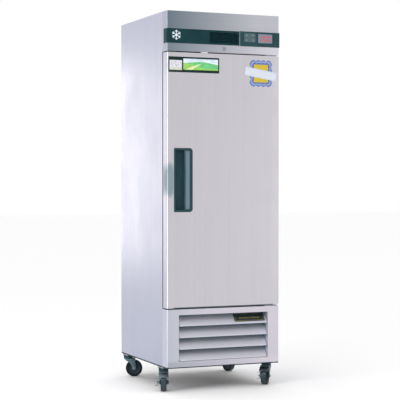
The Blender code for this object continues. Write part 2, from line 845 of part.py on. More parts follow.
# ---------------------------------------------------------------- storage space
def build_interior():
    pilaster_x = CAVITY_SIDE - SHEET - 2 * CLEAR
    for side, sign in (("left", -1), ("right", 1)):
        for end, y in zip(("front", "rear"), PILASTER_Y):
            x0, x1 = sorted((sign * pilaster_x, sign * (pilaster_x - PILASTER[0])))
            add_box(
                f"pilaster_{side}_{end}",
                (x0, y - PILASTER[1] / 2, PILASTER_LOW),
                (x1, y + PILASTER[1] / 2, PILASTER_HIGH),
                STAINLESS,
            )

    half_x = pilaster_x - PILASTER[0] - 0.0008
    front, back = -0.262, 0.285
    loops = [rectangle(-half_x, half_x, front, back)]
    pitch = (2 * half_x - 0.016) / SHELF_SLOTS
    for slot in range(SHELF_SLOTS):
        x = -half_x + 0.008 + pitch * slot
        loops.append(rectangle(x + 0.003, x + pitch - 0.003, front + 0.010, back - 0.010))
    for number, level in enumerate(SHELF_LEVELS, 1):
        add_plate(f"shelf_{number}", loops, SHELF_THICK, "XY", level + SHELF_THICK / 2, COATED_WIRE)

    ceiling = CAVITY_HIGH - CLEAR - SHEET - CLEAR
    cover = add_open_box(
        "evaporator_cover",
        (-0.268, COVER_FRONT, COVER_LOW),
        (0.268, CAVITY_REAR - SHEET - 2 * CLEAR - COVE, ceiling),
        (0, 0, 1),
        0.006,
        ALUMINIUM,
        sheet=0.0015,
        segments=2,
    )
    fan_z = (COVER_LOW + ceiling) / 2
    cut(cover, add_cylinder("fan_hole", (0, COVER_FRONT, fan_z), FAN_RADIUS + 0.005, 0.02, "Y", sides=32))
    add_finned_block(
        "evaporator_coil", (-0.240, 0.020, COVER_LOW + 0.020), (0.240, 0.260, ceiling - 0.018), 14
    )
    fan_frame = empty("evaporator_fan_spin", (0, COVER_FRONT + 0.030, fan_z))
    add_fan("evaporator_fan", FAN_RADIUS, fan_frame)


def add_finned_block(name, low, high, grooves):
    """A coil: fins across its width, with grooves between them open to the front."""
    pitch = (high[0] - low[0]) / grooves
    front, back = low[1], high[1]
    outline = [(low[0], back), (low[0], front)]
    for groove in range(grooves):
        x = low[0] + pitch * (groove + 0.5)
        for step_x, y in ((-0.25, front), (-0.25, front + 0.03), (0.25, front + 0.03), (0.25, front)):
            outline.append((x + step_x * pitch, y))
    outline += [(high[0], front), (high[0], back)]
    add_plate(name, [outline], high[2] - low[2], "XY", (low[2] + high[2]) / 2, ALUMINIUM)


def add_fan(name, radius, frame, blades=4):
    """A fan on the Y axis of its frame: a hub with pitched blades."""
    hub = add_cylinder(name, (0, 0, 0), radius * 0.28, 0.022, "Y", BLACK_PLASTIC, frame, sides=16)
    for number in range(blades):
        bm = box_bmesh((-radius * 0.24, -0.001, radius * 0.22), (radius * 0.24, 0.001, radius))
        bmesh.ops.rotate(
            bm, matrix=Matrix.Rotation(math.radians(28), 3, "Z"), cent=(0, 0, 0), verts=bm.verts
        )
        bmesh.ops.rotate(
            bm,
            matrix=Matrix.Rotation(2 * math.pi * number / blades, 3, "Y"),
            cent=(0, 0, 0),
            verts=bm.verts,
        )
        join(hub, add_mesh(f"{name}_blade_{number + 1}", bm, parent=frame))


# ---------------------------------------------------------------- machine compartment
def build_machine_compartment():
    floor = BOTTOM + 0.002 + CLEAR
    add_finned_block("condenser_coil", (-0.275, -0.290, floor), (0.105, -0.235, 0.418), 16)

    fan_x, fan_z, fan_y = -0.085, 0.293, -0.200
    motor = add_cylinder(
        "condenser_fan_motor", (fan_x, fan_y + 0.050, fan_z), 0.040, 0.060, "Y", BLACK_ENAMEL
    )
    join(
        motor,
        add_box("motor_strap", (fan_x - 0.160, fan_y + 0.062, fan_z - 0.012), (fan_x + 0.160, fan_y + 0.066, fan_z + 0.012)),
        add_box("motor_post_left", (fan_x - 0.164, fan_y + 0.050, floor), (fan_x - 0.158, fan_y + 0.080, fan_z + 0.012)),
        add_box("motor_post_right", (fan_x + 0.158, fan_y + 0.050, floor), (fan_x + 0.164, fan_y + 0.080, fan_z + 0.012)),
    )
    add_fan("condenser_fan", 0.100, empty("condenser_fan_spin", (fan_x, fan_y, fan_z)), blades=5)

    compressor_frame = empty("compressor_place", (0.185, 0.120, floor))
    shell = add_turned(
        "compressor",
        [
            (0.0, 0.215),
            (0.040, 0.212),
            (0.070, 0.196),
            (0.084, 0.165),
            (0.086, 0.120),
            (0.092, 0.118),
            (0.092, 0.110),
            (0.086, 0.108),
            (0.084, 0.050),
            (0.066, 0.024),
            (0.030, 0.018),
            (0.030, 0.010),
            (0.0, 0.010),
        ],
        24,
        BLACK_ENAMEL,
        compressor_frame,
    )
    join(shell, add_box("compressor_feet", (-0.095, -0.080, 0.0), (0.095, 0.080, 0.012), parent=compressor_frame))

    add_open_box(
        "condensate_pan",
        (-0.300, 0.090, floor + 0.004),
        (0.020, 0.350, floor + 0.055),
        (0, 0, 1),
        0.006,
        GALVANISED,
        segments=2,
    )


# ---------------------------------------------------------------- casters
def build_casters():
    for name, (side, row, angle, braked) in CASTERS.items():
        swivel = empty(f"{name}_swivel", (side * CASTER_X, CASTER_Y[row], 0), angle)
        add_caster_plate(name, side, row)
        add_caster_fork(name, swivel)
        axle = empty(f"{name}_axle", (0, TRAIL, WHEEL_RADIUS), parent=swivel)
        axle.rotation_euler = (0, math.radians(90), 0)
        add_wheel(name, axle)
        if braked:
            add_brake(name, axle)


def add_caster_plate(name, side, row):
    """The mounting plate under the base pan, with the upper ball race."""
    x, y = side * CASTER_X, CASTER_Y[row]
    top = BOTTOM - CLEAR
    plate = add_rounded_box(
        f"caster_plate_{name}",
        (x - 0.0240, y - 0.040, top - 0.004),
        (x + 0.0240, y + 0.040, top),
        0.006,
        lambda middle, direction: abs(direction.z) > 0.9,
        ZINC,
        segments=2,
    )
    join(plate, add_cylinder(f"{name}_upper_race", (x, y, top - 0.008), 0.027, 0.011))


def add_caster_fork(name, swivel):
    """The swivelling horn: lower race, crown and two legs, with the axle bolt through them."""
    race_top = BOTTOM - 0.0135 - 2 * CLEAR
    outer = FORK_INNER + FORK_SHEET
    fork = add_cylinder(
        f"caster_fork_{name}",
        (0, 0, (CROWN_LOW + race_top) / 2),
        0.0257,
        race_top - CROWN_LOW,
        material=ZINC,
        parent=swivel,
    )
    join(
        fork,
        add_rounded_box(
            f"{name}_crown",
            (-outer + 0.0006, -0.023, CROWN_LOW),
            (outer - 0.0006, TRAIL + 0.006, CROWN_HIGH),
            0.010,
            lambda middle, direction: abs(direction.z) > 0.9,
            parent=swivel,
            segments=2,
        ),
    )
    axle_z = WHEEL_RADIUS
    # a leg tapers from the crown to a rounded foot about the axle
    foot = [
        (TRAIL + 0.012 * math.cos(a), axle_z + 0.012 * math.sin(a))
        for a in (math.radians(d) for d in range(-160, 21, 30))
    ]
    leg_top = CROWN_HIGH - 0.0012
    outline = [(-0.012, leg_top), *foot, (TRAIL + 0.004, leg_top)]
    for side in (-1, 1):
        middle = side * (FORK_INNER + FORK_SHEET / 2)
        join(fork, add_plate(f"{name}_leg_{side}", [outline], FORK_SHEET, "YZ", middle, parent=swivel))
    join(
        fork,
        add_cylinder(
            f"{name}_bolt",
            (0, TRAIL, axle_z),
            AXLE_RADIUS,
            2 * outer + 0.001,
            "X",
            parent=swivel,
            sides=16,
        ),
        add_cylinder(
            f"{name}_bolt_head", (-outer - 0.002, TRAIL, axle_z), 0.008, 0.005, "X", parent=swivel, sides=6
        ),
    )


def add_wheel(name, axle):
    bore = (AXLE_RADIUS + 0.00005) / math.cos(math.pi / 24)
    hub, tread, rim = HUB_WIDTH / 2, TREAD_WIDTH / 2, WHEEL_RADIUS - 0.012
    half = [
        (bore, hub),
        (0.014, hub),
        (0.016, 0.011),
        (rim - 0.004, 0.011),
        (rim, tread),
        (WHEEL_RADIUS - 0.003, tread),
        (WHEEL_RADIUS, tread - 0.007),
    ]
    profile = half + [(r, -z) for r, z in reversed(half)]
    add_turned(f"caster_wheel_{name}", profile, 24, BLACK_RUBBER, axle)


def add_brake(name, axle):
    """A rocking side brake: a disc beside the fork with a tread tab above and one below the axle."""
    near = FORK_INNER + FORK_SHEET + 0.0010
    reach = 0.021
    lever = add_box(
        f"caster_brake_{name}",
        (-0.020, -0.009, near),
        (0.020, 0.009, near + 0.0025),
        ZINC,
        axle,
    )
    for sign in (-1, 1):
        tab_low, tab_high = sorted((sign * 0.0175, sign * 0.020))
        join(
            lever,
            add_box(
                f"{name}_tab_{sign}",
                (tab_low, -0.009, near + 0.001),
                (tab_high, 0.009, near + reach),
                parent=axle,
            ),
        )


def shade_round_pieces():
    for obj in PARTS.objects:
        if obj.type == "MESH" and len(obj.data.polygons):
            obj.data.shade_smooth()
            obj.data.set_sharp_from_angle(angle=math.radians(30))


build_cabinet()
build_header()
build_lower_panel()
build_hinges()
build_door()
build_interior()
build_machine_compartment()
build_casters()
shade_round_pieces()
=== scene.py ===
"""Visual model of the reach-in refrigerator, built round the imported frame.

Metres, +Z up, the origin on the floor under the cabinet, -Y the door's side.
"""

import math

import bmesh
import bpy
from mathutils import Matrix, Vector


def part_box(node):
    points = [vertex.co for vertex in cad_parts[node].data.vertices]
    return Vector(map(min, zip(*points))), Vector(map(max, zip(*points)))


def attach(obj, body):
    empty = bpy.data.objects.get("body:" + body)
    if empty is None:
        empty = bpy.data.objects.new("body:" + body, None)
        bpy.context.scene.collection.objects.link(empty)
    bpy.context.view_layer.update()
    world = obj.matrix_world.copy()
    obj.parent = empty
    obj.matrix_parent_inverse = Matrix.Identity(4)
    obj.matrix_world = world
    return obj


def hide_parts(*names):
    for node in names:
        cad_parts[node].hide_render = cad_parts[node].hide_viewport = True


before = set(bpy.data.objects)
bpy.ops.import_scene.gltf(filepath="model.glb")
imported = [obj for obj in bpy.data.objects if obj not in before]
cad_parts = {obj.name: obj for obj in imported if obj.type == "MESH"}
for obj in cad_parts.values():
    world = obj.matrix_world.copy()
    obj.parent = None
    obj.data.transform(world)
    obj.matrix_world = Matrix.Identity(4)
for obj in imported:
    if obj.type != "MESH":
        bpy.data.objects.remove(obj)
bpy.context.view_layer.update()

# ---------------------------------------------------------------- sizes read from the frame
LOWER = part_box("lower_panel")
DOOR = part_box("door_skin")
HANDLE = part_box("door_handle")
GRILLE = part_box("louver_grille")
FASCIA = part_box("header_fascia")
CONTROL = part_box("control_panel")
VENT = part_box("header_vent")
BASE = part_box("base_pan")
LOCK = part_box("lock_barrel")
FRONT, HALF = DOOR[0].y, DOOR[1].x
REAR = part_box("rear_panel")[1].y
OPENING = (GRILLE[0].z - 0.0003, GRILLE[1].z + 0.0003)  # of the lower panel, behind the grille
BLADES = 4
PITCH = (OPENING[1] - OPENING[0]) / BLADES
# the finger scoop in the door's edge, beside the handle
SCOOP_LOW, SCOOP_HIGH, SCOOP_DEPTH = 1.085, 1.27, 0.0065
SCOOP_X = -0.326
SIDES = (-1, 1)
CORNERS = [(x, y) for x in SIDES for y in SIDES]


# ---------------------------------------------------------------- material helpers
def srgb(red, green, blue):
    """Linear colour from 8-bit sRGB values."""
    values = [c / 255 for c in (red, green, blue)]
    return tuple(c / 12.92 if c <= 0.04045 else ((c + 0.055) / 1.055) ** 2.4 for c in values)


def scaled(colour, factor):
    return tuple(min(1.0, c * factor) for c in colour)


class Material:
    """A Principled material with procedural layers read from object coordinates."""

    def __init__(self, name, colour, roughness=0.5, metallic=0.0, **sockets):
        self.material = bpy.data.materials.new(name)
        self.material.use_nodes = True
        self.tree = self.material.node_tree
        self.shader = self.tree.nodes["Principled BSDF"]
        self.shader.inputs["Base Color"].default_value = (*colour, 1.0)
        self.shader.inputs["Roughness"].default_value = roughness
        self.shader.inputs["Metallic"].default_value = metallic
        for socket, value in sockets.items():
            self.shader.inputs[socket.replace("_", " ")].default_value = value
        self.place = self.tree.nodes.new("ShaderNodeTexCoord").outputs["Object"]

    def node(self, kind, inputs, **settings):
        """A node with its settings, and its inputs each set to a number, a tuple or an output."""
        made = self.tree.nodes.new(kind)
        for key, value in settings.items():
            setattr(made, key, value)
        for key, value in inputs.items():
            if isinstance(value, bpy.types.NodeSocket):
                self.tree.links.new(value, made.inputs[key])
            else:
                made.inputs[key].default_value = value
        return made

    def texture(self, kind, scale, **inputs):
        """A texture with its own scale along X, Y and Z, in cells per metre."""
        scale = scale if isinstance(scale, tuple) else (scale,) * 3
        mapping = self.node("ShaderNodeMapping", {"Scale": scale, "Vector": self.place})
        vector = mapping.outputs["Vector"]
        return self.node(kind, {"Scale": 1.0, "Vector": vector, **inputs})

    def noise(self, scale, detail=3.0, roughness=0.55, distortion=0.0):
        settings = {"Detail": detail, "Roughness": roughness, "Distortion": distortion}
        return self.texture("ShaderNodeTexNoise", scale, **settings).outputs["Fac"]

    def span(self, source, low, high, start=0.3, end=0.7):
        """Maps source from start..end to low..high."""
        ends = {"From Min": start, "From Max": end, "To Min": low, "To Max": high}
        return self.node("ShaderNodeMapRange", {"Value": source, **ends}).outputs["Result"]

    def mix(self, factor, first, second):
        """Mixes two colours, each a tuple or an output."""
        first, second = ((*c, 1.0) if isinstance(c, tuple) else c for c in (first, second))
        inputs = {0: factor, 6: first, 7: second}
        return self.node("ShaderNodeMix", inputs, data_type="RGBA").outputs[2]

    def combine(self, operation, first, second):
        return self.node("ShaderNodeMath", {0: first, 1: second}, operation=operation).outputs[0]

    def distance_from(self, letter, middle):
        """Distance along one axis from a plane."""
        offset = self.combine("SUBTRACT", self.axis(letter), middle)
        return self.combine("ABSOLUTE", offset, 0.0)

    def axis(self, letter):
        return self.node("ShaderNodeSeparateXYZ", {0: self.place}).outputs[letter]

    def finish(self, colour=None, roughness=None, bump=None, strength=0.1, distance=0.00005):
        """Feeds the shader and gives the finished material."""
        if bump:
            inputs = {"Strength": strength, "Distance": distance, "Height": bump}
            bump = self.node("ShaderNodeBump", inputs).outputs["Normal"]
        for socket, source in (("Base Color", colour), ("Roughness", roughness), ("Normal", bump)):
            if source:
                self.tree.links.new(source, self.shader.inputs[socket])
        return self.material


def brushed(name, colour, roughness, grain, contrast=0.05, tones=(), side=None, scoop_shade=None, strip=None):
    """Brushed sheet: fine grain and long streaks along one axis, faint handling smudges.

    tones are painted shade, each (axis, start, end, colour at start) and fading out by end; on
    a folded box they stay on its front. side is the tone painted on such a box's returned edges
    at the cabinet's full width, as the side faces show it in their light. strip is (top, left
    colour, right colour) of painted shade along its lower edge. scoop_shade is the painted
    shade in the finger scoop beside the handle.
    """
    made = Material(name, colour, roughness, 1.0)
    fine = made.noise(tuple(9.0 if letter == grain else 900.0 for letter in "XYZ"), 2.0)
    streak = made.noise(tuple(0.8 if letter == grain else 55.0 for letter in "XYZ"), 3.0)
    smudge = made.noise((5.0, 5.0, 4.0), 4.0, 0.6, 0.4)
    dark, light = scaled(colour, 1 - contrast), scaled(colour, 1 + contrast)
    base = made.mix(made.span(streak, 0.0, 1.0), dark, light)
    base = made.mix(made.span(fine, 0.0, 0.35), base, scaled(colour, 1 - 2 * contrast))
    # the painted shade of tones and strip keeps to a folded box's front face
    front_only = made.span(made.axis("Y"), 1.0, 0.0, FRONT + 0.0035, FRONT + 0.0055) if side else 1.0
    # painted shade, fading along one axis
    for axis, start, end, tone in tones:
        faded = made.span(made.axis(axis), 1.0, 0.0, start, end)
        base = made.mix(made.combine("MULTIPLY", faded, front_only), base, tone)
    # painted shade along the lower edge, from the left colour to the right
    if strip:
        top, left, right = strip
        along = made.mix(made.span(made.axis("X"), 0.0, 1.0, -0.33, 0.3), left, right)
        under = made.span(made.axis("Z"), 1.0, 0.0, top - 0.008, top + 0.008)
        base = made.mix(made.combine("MULTIPLY", under, front_only), base, along)
    # the returned edges painted in the tone that the side faces show in their light
    if side:
        reach = made.combine("ABSOLUTE", made.axis("X"), 0.0)
        base = made.mix(made.span(reach, 0.0, 1.0, HALF - 0.0022, HALF - 0.0008), base, side)
    # painted shade in the finger scoop beside the handle
    if scoop_shade:
        middle_z = (SCOOP_LOW + SCOOP_HIGH) / 2
        across = made.combine("DIVIDE", made.combine("SUBTRACT", made.axis("X"), SCOOP_X), 0.03)
        up = made.combine("DIVIDE", made.combine("SUBTRACT", made.axis("Z"), middle_z), 0.1)
        powers = made.combine("POWER", across, 2.0), made.combine("POWER", up, 4.0)
        base = made.mix(made.span(made.combine("ADD", *powers), 1.0, 0.0, 0.25, 1.15), base, scoop_shade)
    grained = made.span(fine, roughness - 0.04, roughness + 0.04)
    return made.finish(base, made.combine("ADD", grained, made.span(smudge, -0.03, 0.06)), fine)


def bladed(name, colour, shaded):
    """Brushed sheet of the grille, with painted shade tinted teal towards the recessed root of each blade,
    behind the blade above, and rougher there.
    """
    made = Material(name, colour, 0.36, 1.0)
    fine = made.noise((9.0, 900.0, 900.0), 2.0)
    base = made.mix(made.span(fine, 0.0, 0.5), colour, scaled(colour, 0.92))
    height = made.combine("SUBTRACT", made.axis("Z"), OPENING[0] + 0.0012)
    within = made.combine("FRACT", made.combine("DIVIDE", height, PITCH), 0.0)
    # painted shade towards the root of each blade
    root = made.span(within, 0.0, 1.0, 0.62, 0.98)
    rough = made.combine("ADD", made.span(fine, 0.5, 0.58), made.combine("MULTIPLY", root, 0.25))
    return made.finish(made.mix(root, base, shaded), rough, fine)


def moulded(name, colour, roughness, grain=2600.0, bump=0.12, **sockets):
    """Moulded plastic: fine spark texture, with slight scuffing of colour and gloss."""
    made = Material(name, colour, roughness, 0.0, **sockets)
    wear = made.noise((22.0, 22.0, 14.0), 5.0, 0.62, 0.3)
    base = made.mix(made.span(wear, 0.0, 1.0, 0.35, 0.8), scaled(colour, 0.86), scaled(colour, 1.25))
    rough = made.span(wear, roughness - 0.05, roughness + 0.1)
    return made.finish(base, rough, made.noise(grain, 2.0), bump, 0.00008)


def printed(name, colour, roughness=0.35):
    """Printed film: ink with faint mottling under a clear coat."""
    made = Material(name, colour, roughness, 0.0, Coat_Weight=0.4, Coat_Roughness=0.15)
    mottle = made.noise(160.0, 4.0)
    base = made.mix(made.span(mottle, 0.0, 1.0), scaled(colour, 0.94), scaled(colour, 1.05))
    return made.finish(base, made.span(mottle, roughness - 0.04, roughness + 0.05))


def galvanised(name, colour):
    """Hot-dip zinc: angular spangle in tone and gloss."""
    made = Material(name, colour, 0.45, 1.0)
    cells = made.texture("ShaderNodeTexVoronoi", 110.0).outputs["Color"]
    tone = made.node("ShaderNodeSeparateColor", {0: cells}).outputs
    base = made.mix(made.span(tone[0], 0.0, 1.0, 0, 1), scaled(colour, 0.95), scaled(colour, 1.04))
    return made.finish(base, made.span(tone[1], 0.42, 0.5, 0, 1))


def plated(name, colour, roughness=0.3):
    """Bright zinc plate: cloudy tone, dulled in patches."""
    made = Material(name, colour, roughness, 1.0)
    cloud = made.noise(45.0, 5.0, 0.6)
    base = made.mix(made.span(cloud, 0.0, 1.0), scaled(colour, 0.72), scaled(colour, 1.1))
    rough = made.span(cloud, roughness - 0.08, roughness + 0.16)
    return made.finish(base, rough, made.noise(900.0, 2.0), 0.08)


def glowing(name, colour, strength):
    made = Material(name, colour, 0.4, 0.0)
    made.shader.inputs["Emission Color"].default_value = (*colour, 1.0)
    made.shader.inputs["Emission Strength"].default_value = strength
    cell = made.span(made.noise(500.0, 2.0), 0.0, 1.0)
    return made.finish(made.mix(cell, scaled(colour, 0.9), colour))


STEEL_SIDE = srgb(189, 191, 208)
# the sides' tone painted on the door's returned edges, and painted shade in the finger scoop
DOOR_STEEL = brushed(
    "door_steel", srgb(193, 190, 196), 0.34, "Z", 0.022, side=STEEL_SIDE, scoop_shade=srgb(140, 154, 162)
)
# painted shade at the left, fading out a third of the way across; the sides' tone painted on the returned
# edges; painted shade along the bottom, darker to the left
LOWER_STEEL = brushed(
    "lower_panel_steel", srgb(200, 196, 205), 0.34, "X", 0.03,
    (("X", -0.36, -0.1, srgb(184, 188, 198)),), STEEL_SIDE,
    strip=(0.17, srgb(166, 170, 181), srgb(206, 200, 209)),
)
# painted shade, dark at the left and fading out towards the right; the sides' tone painted on the returned
# edges; painted shade under the band, darker to the left
HEADER_STEEL = brushed(
    "header_steel", srgb(184, 185, 192), 0.34, "X", 0.04,
    (("X", -0.35, 0.2, srgb(106, 120, 131)),), srgb(176, 179, 194),
    strip=(1.938, srgb(124, 134, 144), srgb(203, 201, 209)),
)
# painted shade, darker towards the floor
SIDE_STEEL = brushed(
    "side_steel", STEEL_SIDE, 0.38, "Z", 0.03, (("Z", 0.13, 0.7, srgb(173, 177, 195)),)
)
# the second colour is painted shade at the roots of the blades
BLADE_STEEL = bladed("blade_steel", srgb(204, 204, 214), srgb(150, 176, 186))
INNER_STEEL = brushed("inner_steel", srgb(196, 198, 202), 0.36, "Z", 0.05)
ALUMINIUM = brushed("liner_aluminium", srgb(214, 216, 219), 0.42, "Z", 0.04)
FIN_METAL = brushed("fin_aluminium", srgb(188, 192, 196), 0.45, "Z", 0.08)
ZINC_SHEET = galvanised("galvanised_sheet", srgb(176, 181, 186))

ZINC = plated("bright_zinc", srgb(186, 192, 197))
LOCK_ZINC = plated("lock_zinc", srgb(150, 156, 164))
DARK_ZINC = plated("dull_zinc", srgb(118, 132, 138), 0.38)
# the casters' forks and races: darker copies of the zinc plate, painted shade under the cabinet
SHADED_FORK_ZINC = plated("shaded_fork_zinc", srgb(98, 118, 127), 0.36)
SHADED_RACE_ZINC = plated("shaded_race_zinc", srgb(62, 84, 92), 0.4)
COPPER = plated("copper_tube", srgb(206, 142, 112), 0.32)
GOLD = plated("nameplate_gold", srgb(176, 160, 92), 0.35)

PAINTED_STEEL = moulded("base_paint", srgb(40, 48, 56), 0.55, 1800.0, 0.08, IOR=1.3)
BAND = moulded("band_plastic", (0.008, 0.036, 0.043), 0.42, 1800.0, 0.05, IOR=1.16)
CONTROL_PLASTIC = moulded("control_plastic", (0.022, 0.058, 0.068), 0.42, 1800.0, 0.05, IOR=1.16)
# a lighter copy of the handle's plastic: painted light in the pocket's shade
POCKET_PLASTIC = moulded("pocket_plastic", (0.022, 0.066, 0.082), 0.42, 1600.0, 0.06, IOR=1.3)
HANDLE_PLASTIC = moulded(
    "handle_plastic", (0.012, 0.044, 0.056), 0.38, 1600.0, 0.06, Specular_IOR_Level=0.22
)
DARK_PLASTIC = moulded("dark_plastic", srgb(18, 30, 34), 0.45, Specular_IOR_Level=0.2)
NAMEPLATE_BLACK = moulded(
    "nameplate_black", srgb(30, 44, 44), 0.35, 1500.0, 0.04, Specular_IOR_Level=0.25
)
# dark plastic for the painted shade in the gap at the door's bottom edge
GAP_SHADE_PLASTIC = moulded("gap_shade_plastic", srgb(74, 88, 94), 0.5, 1800.0, 0.06, IOR=1.3)
KEY_PLASTIC = moulded("key_plastic", srgb(66, 90, 97), 0.5, 2000.0, 0.1)
PALE_PLASTIC = moulded("pale_plastic", srgb(232, 232, 226), 0.45, 2200.0, 0.08)
LABEL_BORDER = moulded("label_border", srgb(22, 42, 40), 0.5, 1500.0, 0.02, IOR=1.2)
LAMP_GLASS = moulded("lamp_glass", srgb(238, 238, 232), 0.25, 900.0, 0.04, Transmission_Weight=0.35)
GASKET = moulded("gasket_vinyl", srgb(92, 96, 100), 0.62, 1500.0, 0.2)
RUBBER = moulded("wheel_rubber", srgb(8, 28, 34), 0.5, 900.0, 0.3, IOR=1.22)
# glossier than the wheel's rubber; its lighter colour is a painted highlight on the tread
TREAD = moulded("glossy_highlit_tread", srgb(26, 50, 58), 0.2, 900.0, 0.05, IOR=1.5)
WHEEL_CORE = moulded("wheel_core", srgb(24, 42, 48), 0.45, 1500.0, 0.1, Specular_IOR_Level=0.3)
WIRE_COAT = moulded("wire_coating", srgb(225, 228, 230), 0.32, 1500.0, 0.05, Coat_Weight=0.3)
ENAMEL = moulded("black_enamel", srgb(24, 25, 28), 0.28, 700.0, 0.1, Coat_Weight=0.5)
FOAM = moulded("insulation_foam", srgb(226, 205, 150), 0.9, 500.0, 0.5)

WINDOW = printed("display_window", srgb(112, 122, 136))
PANEL_FACE = printed("panel_face", srgb(52, 78, 82))
EMBLEM = printed("emblem_ink", srgb(214, 226, 236))
SYMBOL = printed("key_symbol", srgb(112, 134, 140))
DIGITS = glowing("display_digits", srgb(198, 8, 26), 0.42)


# ---------------------------------------------------------------- places and outlines
def shift(x=0.0, y=0.0, z=0.0):
    return Matrix.Translation((x, y, z))


def turned(degrees, axis):
    return Matrix.Rotation(math.radians(degrees), 4, axis)


ALONG = {"X": turned(90, "Y"), "Y": turned(-90, "X"), "Z": Matrix.Identity(4)}  # from a lathe's +Z
FACING_SIDE = turned(90, "Z") @ turned(90, "X")  # a plate's XY on the world's YZ


def facing_front(y):
    """A plate's XY on the world's XZ at this depth, its +Z towards -Y."""
    return shift(0, y, 0) @ turned(90, "X")


def arc(x, y, radius, start, end, steps):
    """Points of an arc between two angles in degrees."""
    turns = [math.radians(start + (end - start) * k / steps) for k in range(steps + 1)]
    return [(x + radius * math.cos(t), y + radius * math.sin(t)) for t in turns]


def circle(x, y, radius, steps=24):
    return arc(x, y, radius, 0, 360, steps)[:-1]


def round_corners(points, radius, segments=5, closed=False):
    """The points of a line with its inner corners rounded."""
    points = [Vector(p) for p in points]
    made = []
    count = len(points)
    for i, point in enumerate(points):
        if not closed and i in (0, count - 1):
            made.append(point)
            continue
        before, after = points[i - 1], points[(i + 1) % count]
        reach = min(radius, (before - point).length * 0.49, (after - point).length * 0.49)
        start = point + (before - point).normalized() * reach
        end = point + (after - point).normalized() * reach
        for k in range(segments + 1):
            t = k / segments
            made.append(start * (1 - t) ** 2 + point * 2 * t * (1 - t) + end * t**2)
    return made


def rectangle(x0, x1, y0, y1, radius=0.0, segments=4):
    corners = [(x0, y0), (x1, y0), (x1, y1), (x0, y1)]
    if not radius:
        return corners
    return [tuple(p[:2]) for p in round_corners([(*c, 0) for c in corners], radius, segments, True)]


def centred(half_x, half_y, radius=0.0, segments=4, x=0.0, y=0.0):
    """A rectangle about a centre."""
    return rectangle(x - half_x, x + half_x, y - half_y, y + half_y, radius, segments)


def around(node, gap, radius=0.0, segments=4):
    """A rectangle in XZ at this distance outside a node's box, or inside it if negative."""
    low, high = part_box(node)
    return rectangle(low.x - gap, high.x + gap, low.z - gap, high.z + gap, radius, segments)


def at_depth(outline, y):
    """The points of an outline in XZ at one depth."""
    return [(x, y, z) for x, z in outline]


def mirrored(profile):
    """The points of half a profile, followed by their mirror images along the axis."""
    return profile + [(across, -along) for across, along in reversed(profile)]


# ---------------------------------------------------------------- mesh helpers
def block(centre, size, radius=0.001, segments=2):
    """A box with rounded edges about its centre."""
    bm = bmesh.new()
    bmesh.ops.create_cube(bm, size=1.0)
    bmesh.ops.scale(bm, vec=size, verts=bm.verts)
    bmesh.ops.translate(bm, vec=centre, verts=bm.verts)
    if radius:
        options = {"segments": segments, "profile": 0.5, "affect": "EDGES"}
        bmesh.ops.bevel(bm, geom=bm.edges[:], offset=radius, **options)
    return bm


def box_between(low, high, radius=0.001, segments=2):
    low, high = Vector(map(min, low, high)), Vector(map(max, low, high))
    return block((low + high) / 2, high - low, radius, segments)


def bridged(bm, rings, closed=False):
    """Faces between neighbouring rings of vertices, a ring of one vertex being a tip."""
    pairs = list(zip(rings, rings[1:])) + ([(rings[-1], rings[0])] if closed else [])
    for first, second in pairs:
        count = max(len(first), len(second))
        for i in range(count):
            j = (i + 1) % count
            corners = [first[i % len(first)], first[j % len(first)]]
            corners += [second[j % len(second)], second[i % len(second)]]
            bm.faces.new(list(dict.fromkeys(corners)))


def lathe(profile, centre=(0, 0, 0), axis="Z", steps=32):
    """A solid or ring turned about an axis from (radius, distance along the axis) points."""
    bm = bmesh.new()
    rings = []
    for radius, along in profile:
        ring = circle(0, 0, radius, steps) if radius else [(0, 0)]
        rings.append([bm.verts.new((x, y, along)) for x, y in ring])
    bridged(bm, rings, closed=profile[0][0] > 0)
    bmesh.ops.recalc_face_normals(bm, faces=bm.faces)
    bm.transform(shift(*centre) @ ALONG[axis])
    return bm


def cylinder(centre, radius, length, axis="Z", steps=24, edge=0.0006):
    half = length / 2
    edge = min(edge, radius * 0.4, half * 0.5)
    profile = mirrored([(0, half), (radius - edge, half), (radius, half - edge)])
    return lathe(profile, centre, axis, steps)


def tube(points, radius, sides=10, closed=False):
    """A round bar swept along points, its frame carried without twist."""
    points = [Vector(p) for p in points]
    bm = bmesh.new()
    last = len(points) - 1
    rings, normal = [], None
    for i, point in enumerate(points):
        ahead = points[(i + 1) % (last + 1)] if closed else points[min(i + 1, last)]
        behind = points[i - 1] if closed else points[max(i - 1, 0)]
        tangent = (ahead - behind).normalized()
        if normal is None:
            start = Vector((0, 0, 1)) if abs(tangent.z) < 0.9 else Vector((1, 0, 0))
            normal = start.cross(tangent)
        normal = (normal - tangent * normal.dot(tangent)).normalized()
        side = tangent.cross(normal)
        ring = circle(0, 0, radius, sides)
        rings.append([bm.verts.new(point + normal * u + side * v) for u, v in ring])
    bridged(bm, rings, closed)
    if not closed:
        bm.faces.new(list(reversed(rings[0])))
        bm.faces.new(rings[-1])
    bmesh.ops.recalc_face_normals(bm, faces=bm.faces)
    return bm


def lofted(rings):
    """A surface through closed rings of equal length, the last one capped."""
    bm = bmesh.new()
    made = [[bm.verts.new(p) for p in ring] for ring in rings]
    bridged(bm, made)
    bm.faces.new(made[-1])
    bmesh.ops.recalc_face_normals(bm, faces=bm.faces)
    return bm


def grid_surface(rows):
    """A sheet through rows of points of equal length."""
    bm = bmesh.new()
    made = [[bm.verts.new(p) for p in row] for row in rows]
    for first, second in zip(made, made[1:]):
        for i in range(len(first) - 1):
            bm.faces.new((first[i], first[i + 1], second[i + 1], second[i]))
    return bm


